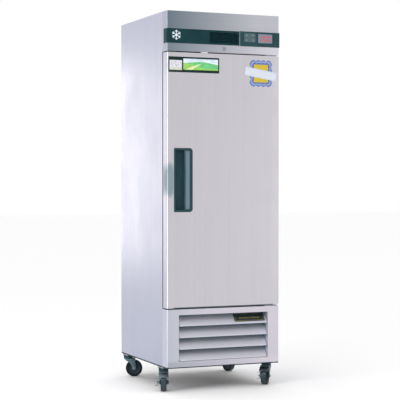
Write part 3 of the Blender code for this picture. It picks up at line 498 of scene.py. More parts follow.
def from_evaluated(obj):
    """The bmesh that a curve or mesh object gives with its modifiers applied; removes the object."""
    bpy.context.view_layer.update()
    mesh = bpy.data.meshes.new_from_object(obj.evaluated_get(bpy.context.evaluated_depsgraph_get()))
    bm = bmesh.new()
    bm.from_mesh(mesh)
    bpy.data.meshes.remove(mesh)
    bpy.data.objects.remove(obj)
    return bm


def linked(name, data):
    obj = bpy.data.objects.new(name, data)
    bpy.context.scene.collection.objects.link(obj)
    return obj


def plate(loops, thickness, matrix=None, edge=0.0):
    """A flat plate from an outline and its holes in XY, centred on Z = 0."""
    curve = bpy.data.curves.new("outline", "CURVE")
    curve.dimensions, curve.fill_mode, curve.extrude = "2D", "BOTH", thickness / 2 - edge
    curve.bevel_depth, curve.bevel_resolution, curve.offset = edge, 1, -edge
    for loop in loops:
        spline = curve.splines.new("POLY")
        spline.points.add(len(loop) - 1)
        spline.use_cyclic_u = True
        for point, place in zip(spline.points, loop):
            point.co = (place[0], place[1], 0.0, 1.0)
    bm = from_evaluated(linked("outline", curve))
    bpy.data.curves.remove(curve)
    bmesh.ops.remove_doubles(bm, verts=bm.verts, dist=1e-6)
    bmesh.ops.recalc_face_normals(bm, faces=bm.faces)
    return moved(bm, matrix or Matrix.Identity(4))


def as_sheet(bm, thickness, offset=-1.0):
    """The surface given a thickness: offset -1 puts it inwards, 1 outwards, 0 on both sides."""
    mesh = bpy.data.meshes.new("plain")
    bm.normal_update()
    bm.to_mesh(mesh)
    bm.free()
    obj = linked("plain", mesh)
    modifier = obj.modifiers.new("sheet", "SOLIDIFY")
    modifier.thickness, modifier.offset, modifier.use_even_offset = thickness, offset, True
    changed = from_evaluated(obj)
    bpy.data.meshes.remove(mesh)
    return changed


def bent(rows, thickness):
    """A bent sheet through rows of points."""
    return as_sheet(grid_surface(rows), thickness, 0.0)


def moved(bm, matrix):
    bm.transform(matrix)
    return bm


def merged(*parts):
    """One bmesh from several, or from (bmesh, material index) pairs."""
    whole = bmesh.new()
    for part in parts:
        part, index = part if isinstance(part, tuple) else (part, 0)
        for face in part.faces:
            face.material_index = index
        mesh = bpy.data.meshes.new("part")
        part.to_mesh(mesh)
        part.free()
        whole.from_mesh(mesh)
        bpy.data.meshes.remove(mesh)
    return whole


def piece(name, shape, materials, body="cabinet", replaces=(), smooth=32.0):
    """Links a bmesh, or a list of them, as a named piece on its body."""
    bm = merged(*shape) if isinstance(shape, list) else shape
    materials = materials if isinstance(materials, list) else [materials]
    mesh = bpy.data.meshes.new(name)
    bm.normal_update()
    bm.to_mesh(mesh)
    bm.free()
    obj = linked(name, mesh)
    for material in materials:
        mesh.materials.append(material)
    mesh.shade_smooth()
    mesh.set_sharp_from_angle(angle=math.radians(smooth))
    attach(obj, body)
    if replaces:
        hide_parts(*([replaces] if isinstance(replaces, str) else replaces))


def outward_along(head, centre, axis, outward):
    """A screw or bolt head, modelled upwards, set on a face."""
    flip = turned(180, "X") if outward < 0 else Matrix.Identity(4)
    return moved(head, shift(*centre) @ ALONG[axis] @ flip)


def screw_head(centre, radius=0.0035, axis="Y", outward=-1):
    """A low pan head with a shallow recess."""
    profile = [(0, 0.0011), (radius * 0.35, 0.0011), (radius * 0.42, 0.0019)]
    profile += [(radius * 0.75, 0.0016), (radius, 0.0006), (radius, 0), (0, 0)]
    return outward_along(lathe(profile, steps=16), centre, axis, outward)


def hex_bolt(centre, axis="Z", outward=1, size=0.005):
    """A hexagon head on its washer."""
    head = cylinder((0, 0, 0.0026), size, 0.0036, "Z", 6, 0.0005)
    washer = cylinder((0, 0, 0.0005), size * 1.35, 0.001, "Z", 20, 0.0002)
    return outward_along(merged(head, washer), centre, axis, outward)


# ---------------------------------------------------------------- CAD parts that keep their shape
FINISHED = (
    (SIDE_STEEL, "left_side_panel right_side_panel"),
    (INNER_STEEL, "door_frame top_hinge bottom_hinge"),
    (ZINC_SHEET, "top_panel rear_panel"),
    (PAINTED_STEEL, "base_pan"),
    (FOAM, "insulated_body"),
    (ALUMINIUM, "inner_liner evaporator_cover"),
    (LOCK_ZINC, "lock_barrel lock_plug"),
    (BAND, "header_fascia"),
    (CONTROL_PLASTIC, "control_panel"),
    (DARK_PLASTIC, "controller"),
    (PALE_PLASTIC, "door_switch"),
)
for material, names in FINISHED:
    for node in names.split():
        for material_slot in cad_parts[node].material_slots:
            material_slot.material = material


# ---------------------------------------------------------------- cabinet panels
def build_front_box(name, node, material, front_holes, floor_holes=(), lift=0.0):
    """A folded sheet box open at the back: front, rolled corners, returns, top and bottom flanges."""
    low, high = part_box(node)
    low.z += lift
    radius, sheet, inset, gap = 0.0065, 0.001, 0.0006, 0.0004
    levels = (low.z + gap, high.z - gap)
    front = [rectangle(low.x + radius, high.x - radius, *levels), *front_holes]
    parts = [plate(front, sheet, facing_front(low.y + sheet / 2))]
    for side, edge in ((-1, low.x), (1, high.x)):
        line = arc(edge - side * radius, low.y + radius, radius, -90, 90 * side - 90, 7)
        corner = grid_surface([[(x, y, z) for z in levels] for x, y in [*line, (edge, high.y)]])
        corner.normal_update()
        corner.faces.ensure_lookup_table()
        outwards = corner.faces[-1].normal.x * side > 0
        parts.append(as_sheet(corner, sheet, -1.0 if outwards else 1.0))
    half = [(low.x + inset, high.y), (low.x + inset, low.y + radius), (low.x + radius, low.y + inset)]
    outline = half + [(-x, y) for x, y in reversed(half)]
    for z, holes in ((low.z + sheet / 2, floor_holes), (high.z - sheet / 2, ())):
        parts.append(plate([outline, *holes], sheet, shift(z=z)))
    piece(name, parts, material, replaces=node)


def build_cabinet_panels():
    lock_x, lock_z = (LOCK[0].x + LOCK[1].x) / 2, (LOCK[0].z + LOCK[1].z) / 2
    vent_hole = centred(0.085, 0.029, y=(VENT[0].z + VENT[1].z) / 2)
    control_hole = around("controller", 0.002)
    cam_slot = rectangle(-0.01, 0.04, FRONT + 0.0185, FRONT + 0.027)
    header_holes = [vent_hole, control_hole, circle(lock_x, lock_z, 0.0094, 28)]
    build_front_box("header_shell", "header_panel", HEADER_STEEL, header_holes, [cam_slot])
    opening = rectangle(GRILLE[0].x - 0.0008, GRILLE[1].x + 0.0008, *OPENING)
    build_front_box("lower_shell", "lower_panel", LOWER_STEEL, [opening], lift=0.0042)

    # dark strips, in the base pan's paint, along the bottom edges of the front and of the sides
    front_strip_y = LOWER[0].y + 0.0014
    low, high = (BASE[0].x - 0.001, front_strip_y, BASE[0].z), (BASE[1].x + 0.001, front_strip_y + 0.003, 0.1398)
    front_strip = box_between(low, high, 0.0006, 1)
    piece("front_bottom_dark_strip", front_strip, PAINTED_STEEL)
    side_strips = []
    for side in SIDES:
        x = side * (HALF + 0.0004)
        side_strips.append(
            box_between((x, FRONT + 0.009, BASE[0].z), (x - side * 0.0016, REAR - 0.002, 0.1415), 0.0004, 1)
        )
    piece("side_bottom_dark_strips", side_strips, PAINTED_STEEL)
    # a dark strip in the gap over the lower panel: painted shade under the door
    top = LOWER[1].z
    low, high = (-0.305, FRONT + 0.006, top - 0.0004), (0.235, FRONT + 0.036, top + 0.0008)
    strip = box_between(low, high, 0.0004, 1)
    piece("lower_gap_shade_strip", strip, GAP_SHADE_PLASTIC)


build_cabinet_panels()


# ---------------------------------------------------------------- door
def clamped(value):
    return max(0.0, min(1.0, value))


def scoop_pull(x, z):
    """How far the door's skin is pressed in beside the handle."""
    if not SCOOP_LOW < z < SCOOP_HIGH:
        return 0.0
    hump = math.sin(math.pi * (z - SCOOP_LOW) / (SCOOP_HIGH - SCOOP_LOW)) ** 2
    pull = hump * clamped((-0.303 - x) / 0.034)
    return pull * pull * (3 - 2 * pull) * SCOOP_DEPTH


HOLE_X = (HANDLE[0].x + 0.0035, HANDLE[1].x - 0.0035)  # the skin's hole under the handle's rim
HOLE_Z = (HANDLE[0].z + 0.0035, HANDLE[1].z - 0.0035)


def door_section():
    """The skin's section in XY, from one back edge round the front to the other."""
    low, high = DOOR
    radius = 0.008
    columns = [-0.328, -0.32, -0.312, -0.305, HOLE_X[0], -0.27, -0.235, HOLE_X[1], -0.12, 0.0, 0.15, 0.28]
    line = [(low.x, high.y), (low.x, (low.y + high.y) / 2), (low.x, low.y + 0.014)]
    line += arc(low.x + radius, low.y + radius, radius, 180, 270, 8)
    line += [(x, low.y) for x in columns]
    line += arc(high.x - radius, low.y + radius, radius, 270, 360, 8)
    return line + [(high.x, low.y + 0.014), (high.x, high.y)]


def close_end(bm, row, z, sink):
    """Closes one end of the skin with a rim round a sunk channel."""
    channel = rectangle(-0.31, 0.31, DOOR[0].y + 0.007, DOOR[1].y - 0.007, 0.003, 3)
    rim = [bm.verts.new((x, y, z)) for x, y in channel]
    floor = [bm.verts.new((x, y, z + sink)) for x, y in channel]
    edges = [bm.edges.new((a, b)) for a, b in zip(rim, rim[1:] + rim[:1])]
    edges += [bm.edges.get((a, b)) or bm.edges.new((a, b)) for a, b in zip(row, row[1:])]
    edges.append(bm.edges.new((row[-1], row[0])))
    bmesh.ops.triangle_fill(bm, edges=edges, use_beauty=True)
    bridged(bm, [rim, floor])
    bm.faces.new(floor)


def build_door_shell():
    """The folded skin, with the handle's hole, the finger scoop and its two closed ends."""
    low, high = DOOR
    section = door_section()
    levels = [low.z, 0.7, HOLE_Z[0]]
    levels += [SCOOP_LOW + (SCOOP_HIGH - SCOOP_LOW) * k / 14 for k in range(15)]
    levels += [HOLE_Z[1], 1.6, high.z]
    bm = bmesh.new()
    rows = []
    for z in levels:
        row = []
        for x, y in section:
            pull = scoop_pull(x, z) * clamped((low.y + 0.03 - y) / 0.03)
            row.append(bm.verts.new((x + pull * 0.6, y + pull, z)))
        rows.append(row)
    for i, (first, second) in enumerate(zip(rows, rows[1:])):
        z_middle = (levels[i] + levels[i + 1]) / 2
        for j, ((x0, y0), (x1, y1)) in enumerate(zip(section, section[1:])):
            behind_handle = y0 == y1 == low.y and HOLE_X[0] < (x0 + x1) / 2 < HOLE_X[1]
            if not (behind_handle and HOLE_Z[0] < z_middle < HOLE_Z[1]):
                bm.faces.new((first[j], first[j + 1], second[j + 1], second[j]))
    close_end(bm, rows[0], low.z, 0.014)
    close_end(bm, rows[-1], high.z, -0.014)
    bmesh.ops.recalc_face_normals(bm, faces=bm.faces)
    piece("door_shell", as_sheet(bm, 0.0009), DOOR_STEEL, "door", ("door_skin", "door_core"), 30.0)
    # a dark strip along the door's bottom edge: painted shade of the gap below it
    cap = box_between((-0.305, FRONT - 0.0004, low.z), (0.305, FRONT + 0.0006, low.z + 0.0045), 0.0004, 1)
    piece("door_bottom_shade_strip", cap, GAP_SHADE_PLASTIC, "door")


# ---------------------------------------------------------------- handle
RIM_Y = FRONT - 0.0035  # the face of the handle's rim
LIP_Y = RIM_Y + 0.001  # where the pocket starts behind it
SPLIT = HANDLE[0].x + 0.0615  # between the pocket's mouth and the grip
GRIP_LEFT, GRIP_RIGHT = SPLIT - 0.0015, HANDLE[1].x - 0.0125
GRIP_MIDDLE = (GRIP_LEFT + GRIP_RIGHT) / 2


def both_ends(levels):
    """Levels from the handle's lower end, followed by their mirror images from its upper end."""
    total = HANDLE[0].z + HANDLE[1].z
    return levels + [(total - level, *rest) for level, *rest in reversed(levels)]


def grip_material():
    """Plastic with a painted highlight along the middle of the grip, and worn patches."""
    made = Material("grip_plastic", srgb(60, 84, 94), 0.26, 0.0, IOR=1.3)
    worn = made.noise((30.0, 30.0, 6.0), 4.0, 0.6)
    # painted highlight along the middle of the grip
    crest_highlight = made.span(made.distance_from("X", GRIP_MIDDLE), 1.0, 0.0, 0.0075, 0.0145)
    tone = made.mix(crest_highlight, srgb(40, 60, 70), srgb(96, 120, 134))
    tone = made.mix(made.span(worn, 0.0, 0.35), tone, srgb(82, 106, 110))
    return made.finish(tone, made.span(worn, 0.22, 0.34))


def handle_rim():
    """The flat rim round the pocket's mouth, rounded on the grip's side."""
    low, high = HANDLE
    corner, chamfer, overlap = 0.018, 0.0025, 0.003
    outline = [(low.x + chamfer, low.z), (low.x, low.z + chamfer)]
    outline += [(low.x, high.z - chamfer), (low.x + chamfer, high.z)]
    for z, start in ((high.z - corner, 90), (low.z + corner, 0)):
        outline += arc(high.x + overlap - corner, z, corner, start, start - 90, 8)
    mouth = rectangle(low.x + 0.0075, SPLIT - 0.0035, low.z + 0.011, high.z - 0.011, 0.005)
    return plate([outline[::-1], mouth], 0.0032, facing_front(RIM_Y + 0.0016), 0.0008)


def handle_pocket():
    """The pocket's wall sweeps in from the open side and its floor curves under the grip."""
    low, floor_y = HANDLE[0], FRONT + 0.029
    wall = [(0.0075, LIP_Y), (0.0085, RIM_Y + 0.01), (0.0115, RIM_Y + 0.021), (0.0185, RIM_Y + 0.029)]
    under = [(-0.01, floor_y), (0.006, floor_y - 0.002), (0.02, floor_y - 0.008)]
    under += [(0.027, floor_y - 0.016), (0.022, FRONT + 0.006), (0.004, FRONT + 0.003), (-0.0035, LIP_Y)]
    profile = [(low.x + x, y) for x, y in wall + [(0.03, floor_y)]]
    profile += [(SPLIT + x, y) for x, y in under]
    depths = ((0.011, 0), (0.013, 0.55), (0.019, 0.9), (0.028, 1))
    ends = both_ends([(low.z + up, depth) for up, depth in depths])
    sections = [[(x, LIP_Y + (y - LIP_Y) * depth, z) for x, y in profile] for z, depth in ends]
    pocket = grid_surface(sections)
    bmesh.ops.recalc_face_normals(pocket, faces=pocket.faces)
    return pocket


def handle_grip():
    """A crowned bar whose ends slope down to the rim."""
    low, high = HANDLE
    crest, base = FRONT - 0.013, RIM_Y + 0.0005
    x0, x1 = GRIP_LEFT, GRIP_RIGHT
    profile = [(x0, base), (x0 - 0.0002, RIM_Y - 0.0045), (x0 + 0.0018, crest + 0.002)]
    profile += [(x0 + 0.005, crest + 0.0004), (GRIP_MIDDLE, crest), (x1 - 0.007, crest + 0.0008)]
    profile += [(x1 - 0.003, crest + 0.003), (x1 - 0.0006, RIM_Y - 0.003), (x1, base)]
    # height above the lower end, share of the crest's height, and how far the sides draw in
    rises = ((0.015, 0.0, 0.0022), (0.0165, 0.25, 0.0008), (0.021, 0.7, 0.0), (0.0255, 0.93, 0.0))
    rises = [(low.z + up, rise, draw) for up, rise, draw in (*rises, (0.032, 1.0, 0.0))]
    levels = both_ends(rises)
    levels.insert(len(rises), ((low.z + high.z) / 2, 1.0, 0.0))
    rows = []
    for z, rise, draw in levels:
        inwards = [draw if x < GRIP_MIDDLE else -draw for x, _ in profile]
        rows.append([(x + dx, base + (y - base) * rise, z) for (x, y), dx in zip(profile, inwards)])
    bar = grid_surface(rows)
    bmesh.ops.recalc_face_normals(bar, faces=bar.faces)
    if any(f.calc_center_median().y < base and f.normal.y > 0.2 for f in bar.faces):
        bmesh.ops.reverse_faces(bar, faces=bar.faces[:])
    return bar


def build_handle():
    finishes = [HANDLE_PLASTIC, grip_material(), POCKET_PLASTIC]
    parts = [handle_rim(), (handle_pocket(), 2), (handle_grip(), 1)]
    piece("door_pull", parts, finishes, "door", "door_handle", 40.0)


build_door_shell()
build_handle()


# ---------------------------------------------------------------- header details
def stroke(start, end, width, y, depth=0.0004):
    """A flat stroke on the front, from start to end in XZ."""
    start, end = Vector(start), Vector(end)
    along = (end - start).normalized()
    across = Vector((-along.y, along.x)) * width / 2
    return plate([[start + across, start - across, end - across, end + across]], depth, facing_front(y))


def polar(length, degrees):
    return Vector((math.cos(math.radians(degrees)), math.sin(math.radians(degrees)))) * length


def build_emblem():
    """A plain snowflake."""
    centre, size = Vector((-0.288, 1.978)), 0.0275
    strokes = []
    for arm in range(6):
        angle = 60 * arm + 30
        y = FASCIA[0].y - 0.0002 - 0.00004 * arm
        strokes.append(stroke(centre, centre + polar(size, angle), 0.0042, y))
        root = centre + polar(size * 0.58, angle)
        for side in SIDES:
            strokes.append(stroke(root, root + polar(size * 0.4, angle + side * 50), 0.0032, y - 0.0003))
    piece("snowflake_emblem", strokes, EMBLEM)


def build_vent():
    """A rim, six tilted slats, two stays behind them and a closed back."""
    low, high = VENT
    middle_z, half_z, half_x = (low.z + high.z) / 2, (high.z - low.z) / 2, high.x
    rim = [centred(half_x, half_z, 0.002, 2, y=middle_z)]
    rim.append(centred(half_x - 0.006, half_z - 0.005, 0.001, 2, y=middle_z))
    parts = [plate(rim, 0.0022, facing_front(low.y + 0.0006), 0.0005)]
    slats, border = 6, 0.006
    pitch = (high.z - low.z - 2 * border) / slats
    for row in range(slats):
        slat = block((0, 0, 0), (2 * half_x - 0.01, 0.0092, 0.0016), 0.0005)
        z = low.z + border + pitch * (row + 0.5)
        parts.append(moved(slat, shift(0, low.y + 0.0042, z) @ turned(34, "X")))
    tall = 2 * half_z - 0.008
    for x in (-0.03, 0.03):
        parts.append(block((x, low.y + 0.0055, middle_z), (0.002, 0.005, tall), 0.0004))
    parts.append(block((0, low.y + 0.01225, middle_z), (2 * half_x - 0.008, 0.0015, tall), 0.0004))
    piece("vent_louvres", parts, BAND, replaces="header_vent")


KEYS = (1, 2, 3, 4)
SEGMENTS = {"0": "abcdef", "1": "bc"}  # the lit bars of each digit shown


def seven_segment(digit, x, z, y):
    """The lit bars of one leaning digit about (x, z)."""
    w, h, width, lean = 0.00675, 0.0135, 0.0052, 0.1
    ends = {"a": (-w, h, w, h), "b": (w, h, w, 0), "c": (w, 0, w, -h)}
    ends.update({"d": (-w, -h, w, -h), "e": (-w, 0, -w, -h), "f": (-w, h, -w, 0)})
    strokes = []
    for letter in SEGMENTS[digit]:
        start, end = Vector(ends[letter][:2]), Vector(ends[letter][2:])
        trim = (end - start).normalized() * width * 0.55
        places = [(x + p.x + p.y * lean, z + p.y) for p in (start + trim, end - trim)]
        strokes.append(stroke(*places, width, y, 0.0003))
    return strokes


def build_controls():
    """A slightly raised bezel round the keypad's film and the display, and a bright strip at the band's
    joint that stands for a painted highlight on the panel's edge.
    """
    face = CONTROL[0].y
    keypad = (0.1225, 0.1935, 1.956, 2.006)
    window = (0.2095, 0.2985, 1.9535, 2.0045)
    outline = rectangle(0.116, 0.307, 1.9465, 2.0115, 0.004, 3)
    openings = [rectangle(*keypad, 0.002, 2), rectangle(*window, 0.002, 2)]
    bezel = plate([outline, *openings], 0.001, facing_front(face - 0.0005), 0.0003)
    piece("control_bezel", bezel, CONTROL_PLASTIC)
    holes = [around(f"key_{number}", 0.0004, 0.001, 2) for number in KEYS]
    panel = plate([rectangle(*keypad, 0.002, 2), *holes], 0.0005, facing_front(face - 0.0002))
    piece("keypad_film", panel, PANEL_FACE)
    x0, x1, z0, z1 = window
    pane = rectangle(x0 - 0.001, x1 + 0.001, z0 - 0.001, z1 + 0.001, 0.002, 2)
    piece("display_pane", plate([pane], 0.001, facing_front(face + 0.001)), WINDOW)

    strokes = []
    for digit, x in zip("100", (0.2245, 0.25, 0.277)):
        strokes += seven_segment(digit, x, 1.98, face + 0.0003)
    strokes.append(stroke((0.2632, 1.964), (0.2632, 1.967), 0.003, face + 0.0003, 0.0003))
    piece("display_digits", strokes, DIGITS)

    # a bright zinc strip at the band's joint: painted highlight on the control panel's raised edge
    low, high = (0.094, face - 0.0008, FASCIA[0].z - 0.001), (0.0962, face + 0.003, FASCIA[1].z + 0.001)
    piece("control_edge_highlight_strip", box_between(low, high, 0.0004), ZINC)


def key_symbol(number, x, z, y):
    """Up, down, a ring or three bars."""
    if number < 3:
        tip = 0.0042 if number == 1 else -0.0042
        loops = [[(x - 0.0052, z - tip), (x + 0.0052, z - tip), (x, z + tip)]]
    elif number == 3:
        loops = [circle(x, z, 0.0048), circle(x, z, 0.0031)]
    else:
        bars = [((x - 0.005, z + dz), (x + 0.005, z + dz)) for dz in (-0.0034, 0.0, 0.0034)]
        return merged(*[stroke(start, end, 0.0014, y, 0.0003) for start, end in bars])
    return plate(loops, 0.0003, facing_front(y))


def build_keys():
    """Membrane domes with a flat rim and a crowned middle."""
    columns, rows, crown_height = 8, 6, 0.0009
    for number in KEYS:
        low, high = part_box(f"key_{number}")
        x, z = (low.x + high.x) / 2, (low.z + high.z) / 2
        surface = []
        for j in range(rows + 1):
            v = 2 * j / rows - 1
            row = []
            for i in range(columns + 1):
                u = 2 * i / columns - 1
                crown = (1 - u**4) * (1 - v**4)
                row.append((x + u * (high.x - x), low.y + crown_height * (1 - crown), z + v * (high.z - z)))
            surface.append(row)
        cap = grid_surface(surface)
        cap = as_sheet(cap, 0.0022, 1.0 if cap.faces[:][0].normal.y > 0 else -1.0)
        parts = [cap, (key_symbol(number, x, z, low.y - 0.0001), 1)]
        piece(f"key_cap_{number}", parts, [KEY_PLASTIC, SYMBOL], f"key_{number}", f"key_{number}")


build_emblem()
build_vent()
build_controls()
build_keys()


# ---------------------------------------------------------------- labels on the door
LABEL_Y = FRONT - 0.0002  # of a label's lowest film
FILM = 0.00012  # of each film, and the step from one to the next


def film(name, loop, layer, material):
    """One printed film of a label on the door, its layer counted from the door outwards."""
    piece(name, plate([loop], FILM, facing_front(LABEL_Y - FILM * layer)), material, "door")


def sky_material():
    made = Material("label_sky", srgb(205, 228, 240), 0.4, 0.0, Coat_Weight=0.3)
    height = made.span(made.axis("Z"), 1.0, 0.0, 1.8, 1.85)
    tint = made.mix(height, srgb(172, 196, 216), srgb(208, 216, 212))
    cloud = made.span(made.noise((26.0, 26.0, 60.0), 3.0), 0.0, 0.6)
    return made.finish(made.mix(cloud, tint, srgb(246, 248, 248)))


def pale_cell_material():
    made = Material("label_pale", srgb(224, 226, 226), 0.4)
    fleck = made.span(made.noise((150.0, 150.0, 110.0), 4.0, 0.65), 0.0, 1.0, 0.45, 0.62)
    base = made.mix(fleck, srgb(214, 214, 222), srgb(158, 162, 170))
    low_part = made.span(made.axis("Z"), 0.8, 0.0, 1.786, 1.806)
    return made.finish(made.mix(low_part, base, srgb(182, 190, 150)))


def ground_material(name, colour):
    made = Material(name, colour, 0.42, 0.0, Coat_Weight=0.3)
    patch = made.span(made.noise((70.0, 70.0, 160.0), 4.0, 0.6), 0.0, 1.0)
    return made.finish(made.mix(patch, scaled(colour, 0.8), scaled(colour, 1.2)))


def build_landscape_label():
    """A plain landscape with a dark border: sky, two hills and a path."""
    x0, x1, z0, z1 = -0.335, -0.03, 1.773, 1.859
    split = -0.2505  # between the narrow left cell and the landscape
    film("label_base", rectangle(x0, x1, z0, z1, 0.002, 2), 0, LABEL_BORDER)
    left, right, bottom, top = split + 0.004, x1 - 0.007, z0 + 0.015, z1 - 0.0095
    film("label_sky", rectangle(left, right, bottom, top), 1, sky_material())
    cell = rectangle(x0 + 0.006, split - 0.004, z0 + 0.012, z1 - 0.0195)
    film("label_left_cell", cell, 1, pale_cell_material())

    steps = [i / 24 for i in range(25)]
    far = [0.48 + 0.26 * math.sin(math.pi * (0.12 + 0.8 * t)) ** 1.5 for t in steps]
    near = [0.62 - 0.5 * min(1.0, t * 1.6) ** 1.3 for t in steps]
    for name, heights, colour, layer in (
        ("label_far_hill", far, srgb(92, 184, 112), 2.2),
        ("label_near_hill", near, srgb(134, 190, 84), 3.4),
    ):
        ridge = [(left + (right - left) * t, bottom + (top - bottom) * h) for t, h in zip(steps, heights)]
        outline = [(left, bottom), (right, bottom), *reversed(ridge)]
        film(name, outline, layer, ground_material(name, colour))
    path = [(-0.236, bottom), (-0.196, bottom), (-0.168, 1.806), (-0.141, 1.8195)]
    path += [(-0.148, 1.8205), (-0.182, 1.811)]
    film("label_path", path, 4.67, printed("label_path", srgb(206, 222, 160)))


def scalloped(inset, bumps, height):
    """The badge's outline with its edges in shallow waves, at some inset from its largest size."""
    corners = rectangle(0.166 + inset, 0.29 - inset, 1.714 + inset, 1.85 - inset)
    loop = []
    steps = bumps * 8
    for (ax, az), (bx, bz) in zip(corners, corners[1:] + corners[:1]):
        length = math.hypot(bx - ax, bz - az)
        for k in range(steps):
            t = k / steps
            wave = height / length * abs(math.sin(math.pi * bumps * t))
            loop.append((ax + (bx - ax) * t + (bz - az) * wave, az + (bz - az) * t - (bx - ax) * wave))
    return loop


def build_badge_label():
    """A plain badge: wavy blue border, yellow field and a blank white band."""
    for layer, (name, inset, wave, finish, colour) in enumerate((
        ("badge_border", 0.0, 0.008, "badge_blue", srgb(92, 114, 172)),
        ("badge_inner", 0.0075, 0.006, "badge_white", srgb(146, 164, 204)),
        ("badge_line", 0.0115, 0.0055, "badge_blue_line", srgb(78, 98, 150)),
    )):
        film(name, scalloped(inset, 4, wave), layer, printed(finish, colour))
    field = rectangle(0.184, 0.272, 1.731, 1.832, 0.004, 3)
    film("badge_field", field, 3, printed("badge_yellow", srgb(192, 168, 4)))

    half, low, high, tilt = 0.098, -0.0255, 0.0225, turned(9.0, "Y")
    place = facing_front(0)
    band = plate([rectangle(-half, half, low, high, 0.003, 3)], 0.00014, place)
    band.transform(shift(0.226, LABEL_Y - 0.00052, 1.781) @ tilt)
    piece("badge_band", band, printed("badge_band", srgb(200, 206, 218)), "door")
    for number, z in ((1, high - 0.004), (2, low + 0.004)):
        line = plate([centred(half - 0.004, 0.0011, y=z)], FILM, place)
        line.transform(shift(0.226, LABEL_Y - 0.00064, 1.781) @ tilt)
        ink = printed(f"badge_line_{number}", srgb(176, 190, 218))
        piece(f"badge_band_line_{number}", line, ink, "door")


build_landscape_label()
build_badge_label()


# ---------------------------------------------------------------- louvred grille and nameplate
BLADE_FRONT = LOWER[0].y + 0.0015
BLADE_DEPTH = 0.042
BLADE_SHEET = 0.0009


def blade_point(blade, along):
    """A point on a blade's slope, along from 0 at its foot to 1 at its top: (y, z)."""
    foot = OPENING[0] + PITCH * blade + 0.0068
    return BLADE_FRONT + BLADE_DEPTH * along, foot + (PITCH - 0.01) * along


def build_grille():
    """Blades with a hemmed foot, a straight slope and an upright flange at the top, between two jambs."""
    half = 0.2675
    foot = ((0.009, -0.0042), (0.0078, -0.0052), (0.002, -0.0056), (0.0006, -0.0046))
    foot += ((0.0, -0.0028), (0.0004, -0.0006), (0.0016, 0.0012))
    head = ((-0.002, -0.0022), (0.0, 0.0), (0.0002, 0.004))
    parts = []
    for blade in range(BLADES):
        (y0, z0), (y1, z1) = blade_point(blade, 0), blade_point(blade, 1)
        profile = [(y0 + y, z0 + z) for y, z in foot] + [(y1 + y, z1 + z) for y, z in head]
        rows = [[(half * k / 2, y, z) for y, z in profile] for k in (-2, -1, 0, 1, 2)]
        parts.append(bent(rows, BLADE_SHEET))
        # each end is folded back into a slanted tab against the jamb
        for side in SIDES:
            x = side * (half - 0.0004)
            places = [blade_point(blade, k / 4) for k in range(5)]
            tab = [[(x, y - 0.0003, z), (x, y + 0.0045, z - 0.0085)] for y, z in places]
            parts.append(bent(tab, BLADE_SHEET))
    piece("louvre_blades", parts, BLADE_STEEL, replaces="louver_grille")

    jambs = []
    depth, sheet = 0.05, 0.0012
    for side in SIDES:
        x = side * 0.2714
        low = (x, BLADE_FRONT, GRILLE[0].z + 0.0002)
        high = (x - side * sheet, BLADE_FRONT + depth, GRILLE[1].z - 0.0002)
        jambs.append(box_between(low, high, 0.0004))
        for z in (0.205, 0.3, 0.395):
            jambs.append(screw_head((x - side * sheet, BLADE_FRONT + 0.046, z), 0.0028, "X", -side))
    piece("grille_jambs", jambs, BLADE_STEEL)


def build_nameplate():
    """A blank dark plate with a thin gold line, on the upper blade's slope."""
    (ya, za), (yb, zb) = blade_point(BLADES - 1, 0.13), blade_point(BLADES - 1, 0.8)
    slope = Vector((0, yb - ya, zb - za)).normalized()
    on_slope = shift(0, ya, za) @ turned(math.degrees(math.atan2(slope.z, slope.y)), "X")
    x0, x1, height = 0.071, 0.259, 0.052

    def outline(inset, radius):
        return rectangle(x0 + inset, x1 - inset, inset, height - inset, radius, 3)

    def on_plate(shape, level, index=1):
        return (moved(shape, on_slope @ shift(z=level)), index)

    line = plate([outline(0.004, 0.002), outline(0.0055, 0.0015)], 0.0003)
    stripe = plate([rectangle(x0 + 0.03, x1 - 0.03, 0.019, 0.0255, 0.002, 3)], 0.0003)
    parts = [on_plate(plate([outline(0, 0.003)], 0.0016, None, 0.0004), 0.0014, 0)]
    parts += [on_plate(line, 0.0023), on_plate(stripe, 0.0023)]
    for x in (x0 + 0.0105, x1 - 0.0105):
        rivet = lathe([(0, 0.0012), (0.0014, 0.001), (0.0022, 0), (0, 0)], (x, height / 2, 0), "Z", 12)
        parts.append(on_plate(rivet, 0.0022))
    piece("blank_nameplate", parts, [NAMEPLATE_BLACK, GOLD], replaces="nameplate")


build_grille()
build_nameplate()


# ---------------------------------------------------------------- casters
CASTERS = {
    "front_left": (-1, -0.262, 159.0, True),
    "front_right": (1, -0.262, 143.0, True),
    "rear_left": (-1, 0.323, 249.0, False),
    "rear_right": (1, 0.323, 190.0, False),
}
CASTER_X, CASTER_TOP, TRAIL, AXLE_HEIGHT = 0.319, 0.1337, 0.035, 0.05
AXLE = (0, TRAIL, AXLE_HEIGHT)
FORK_INNER, FORK_SHEET = 0.024, 0.003
FORK_WIDE = FORK_INNER + FORK_SHEET


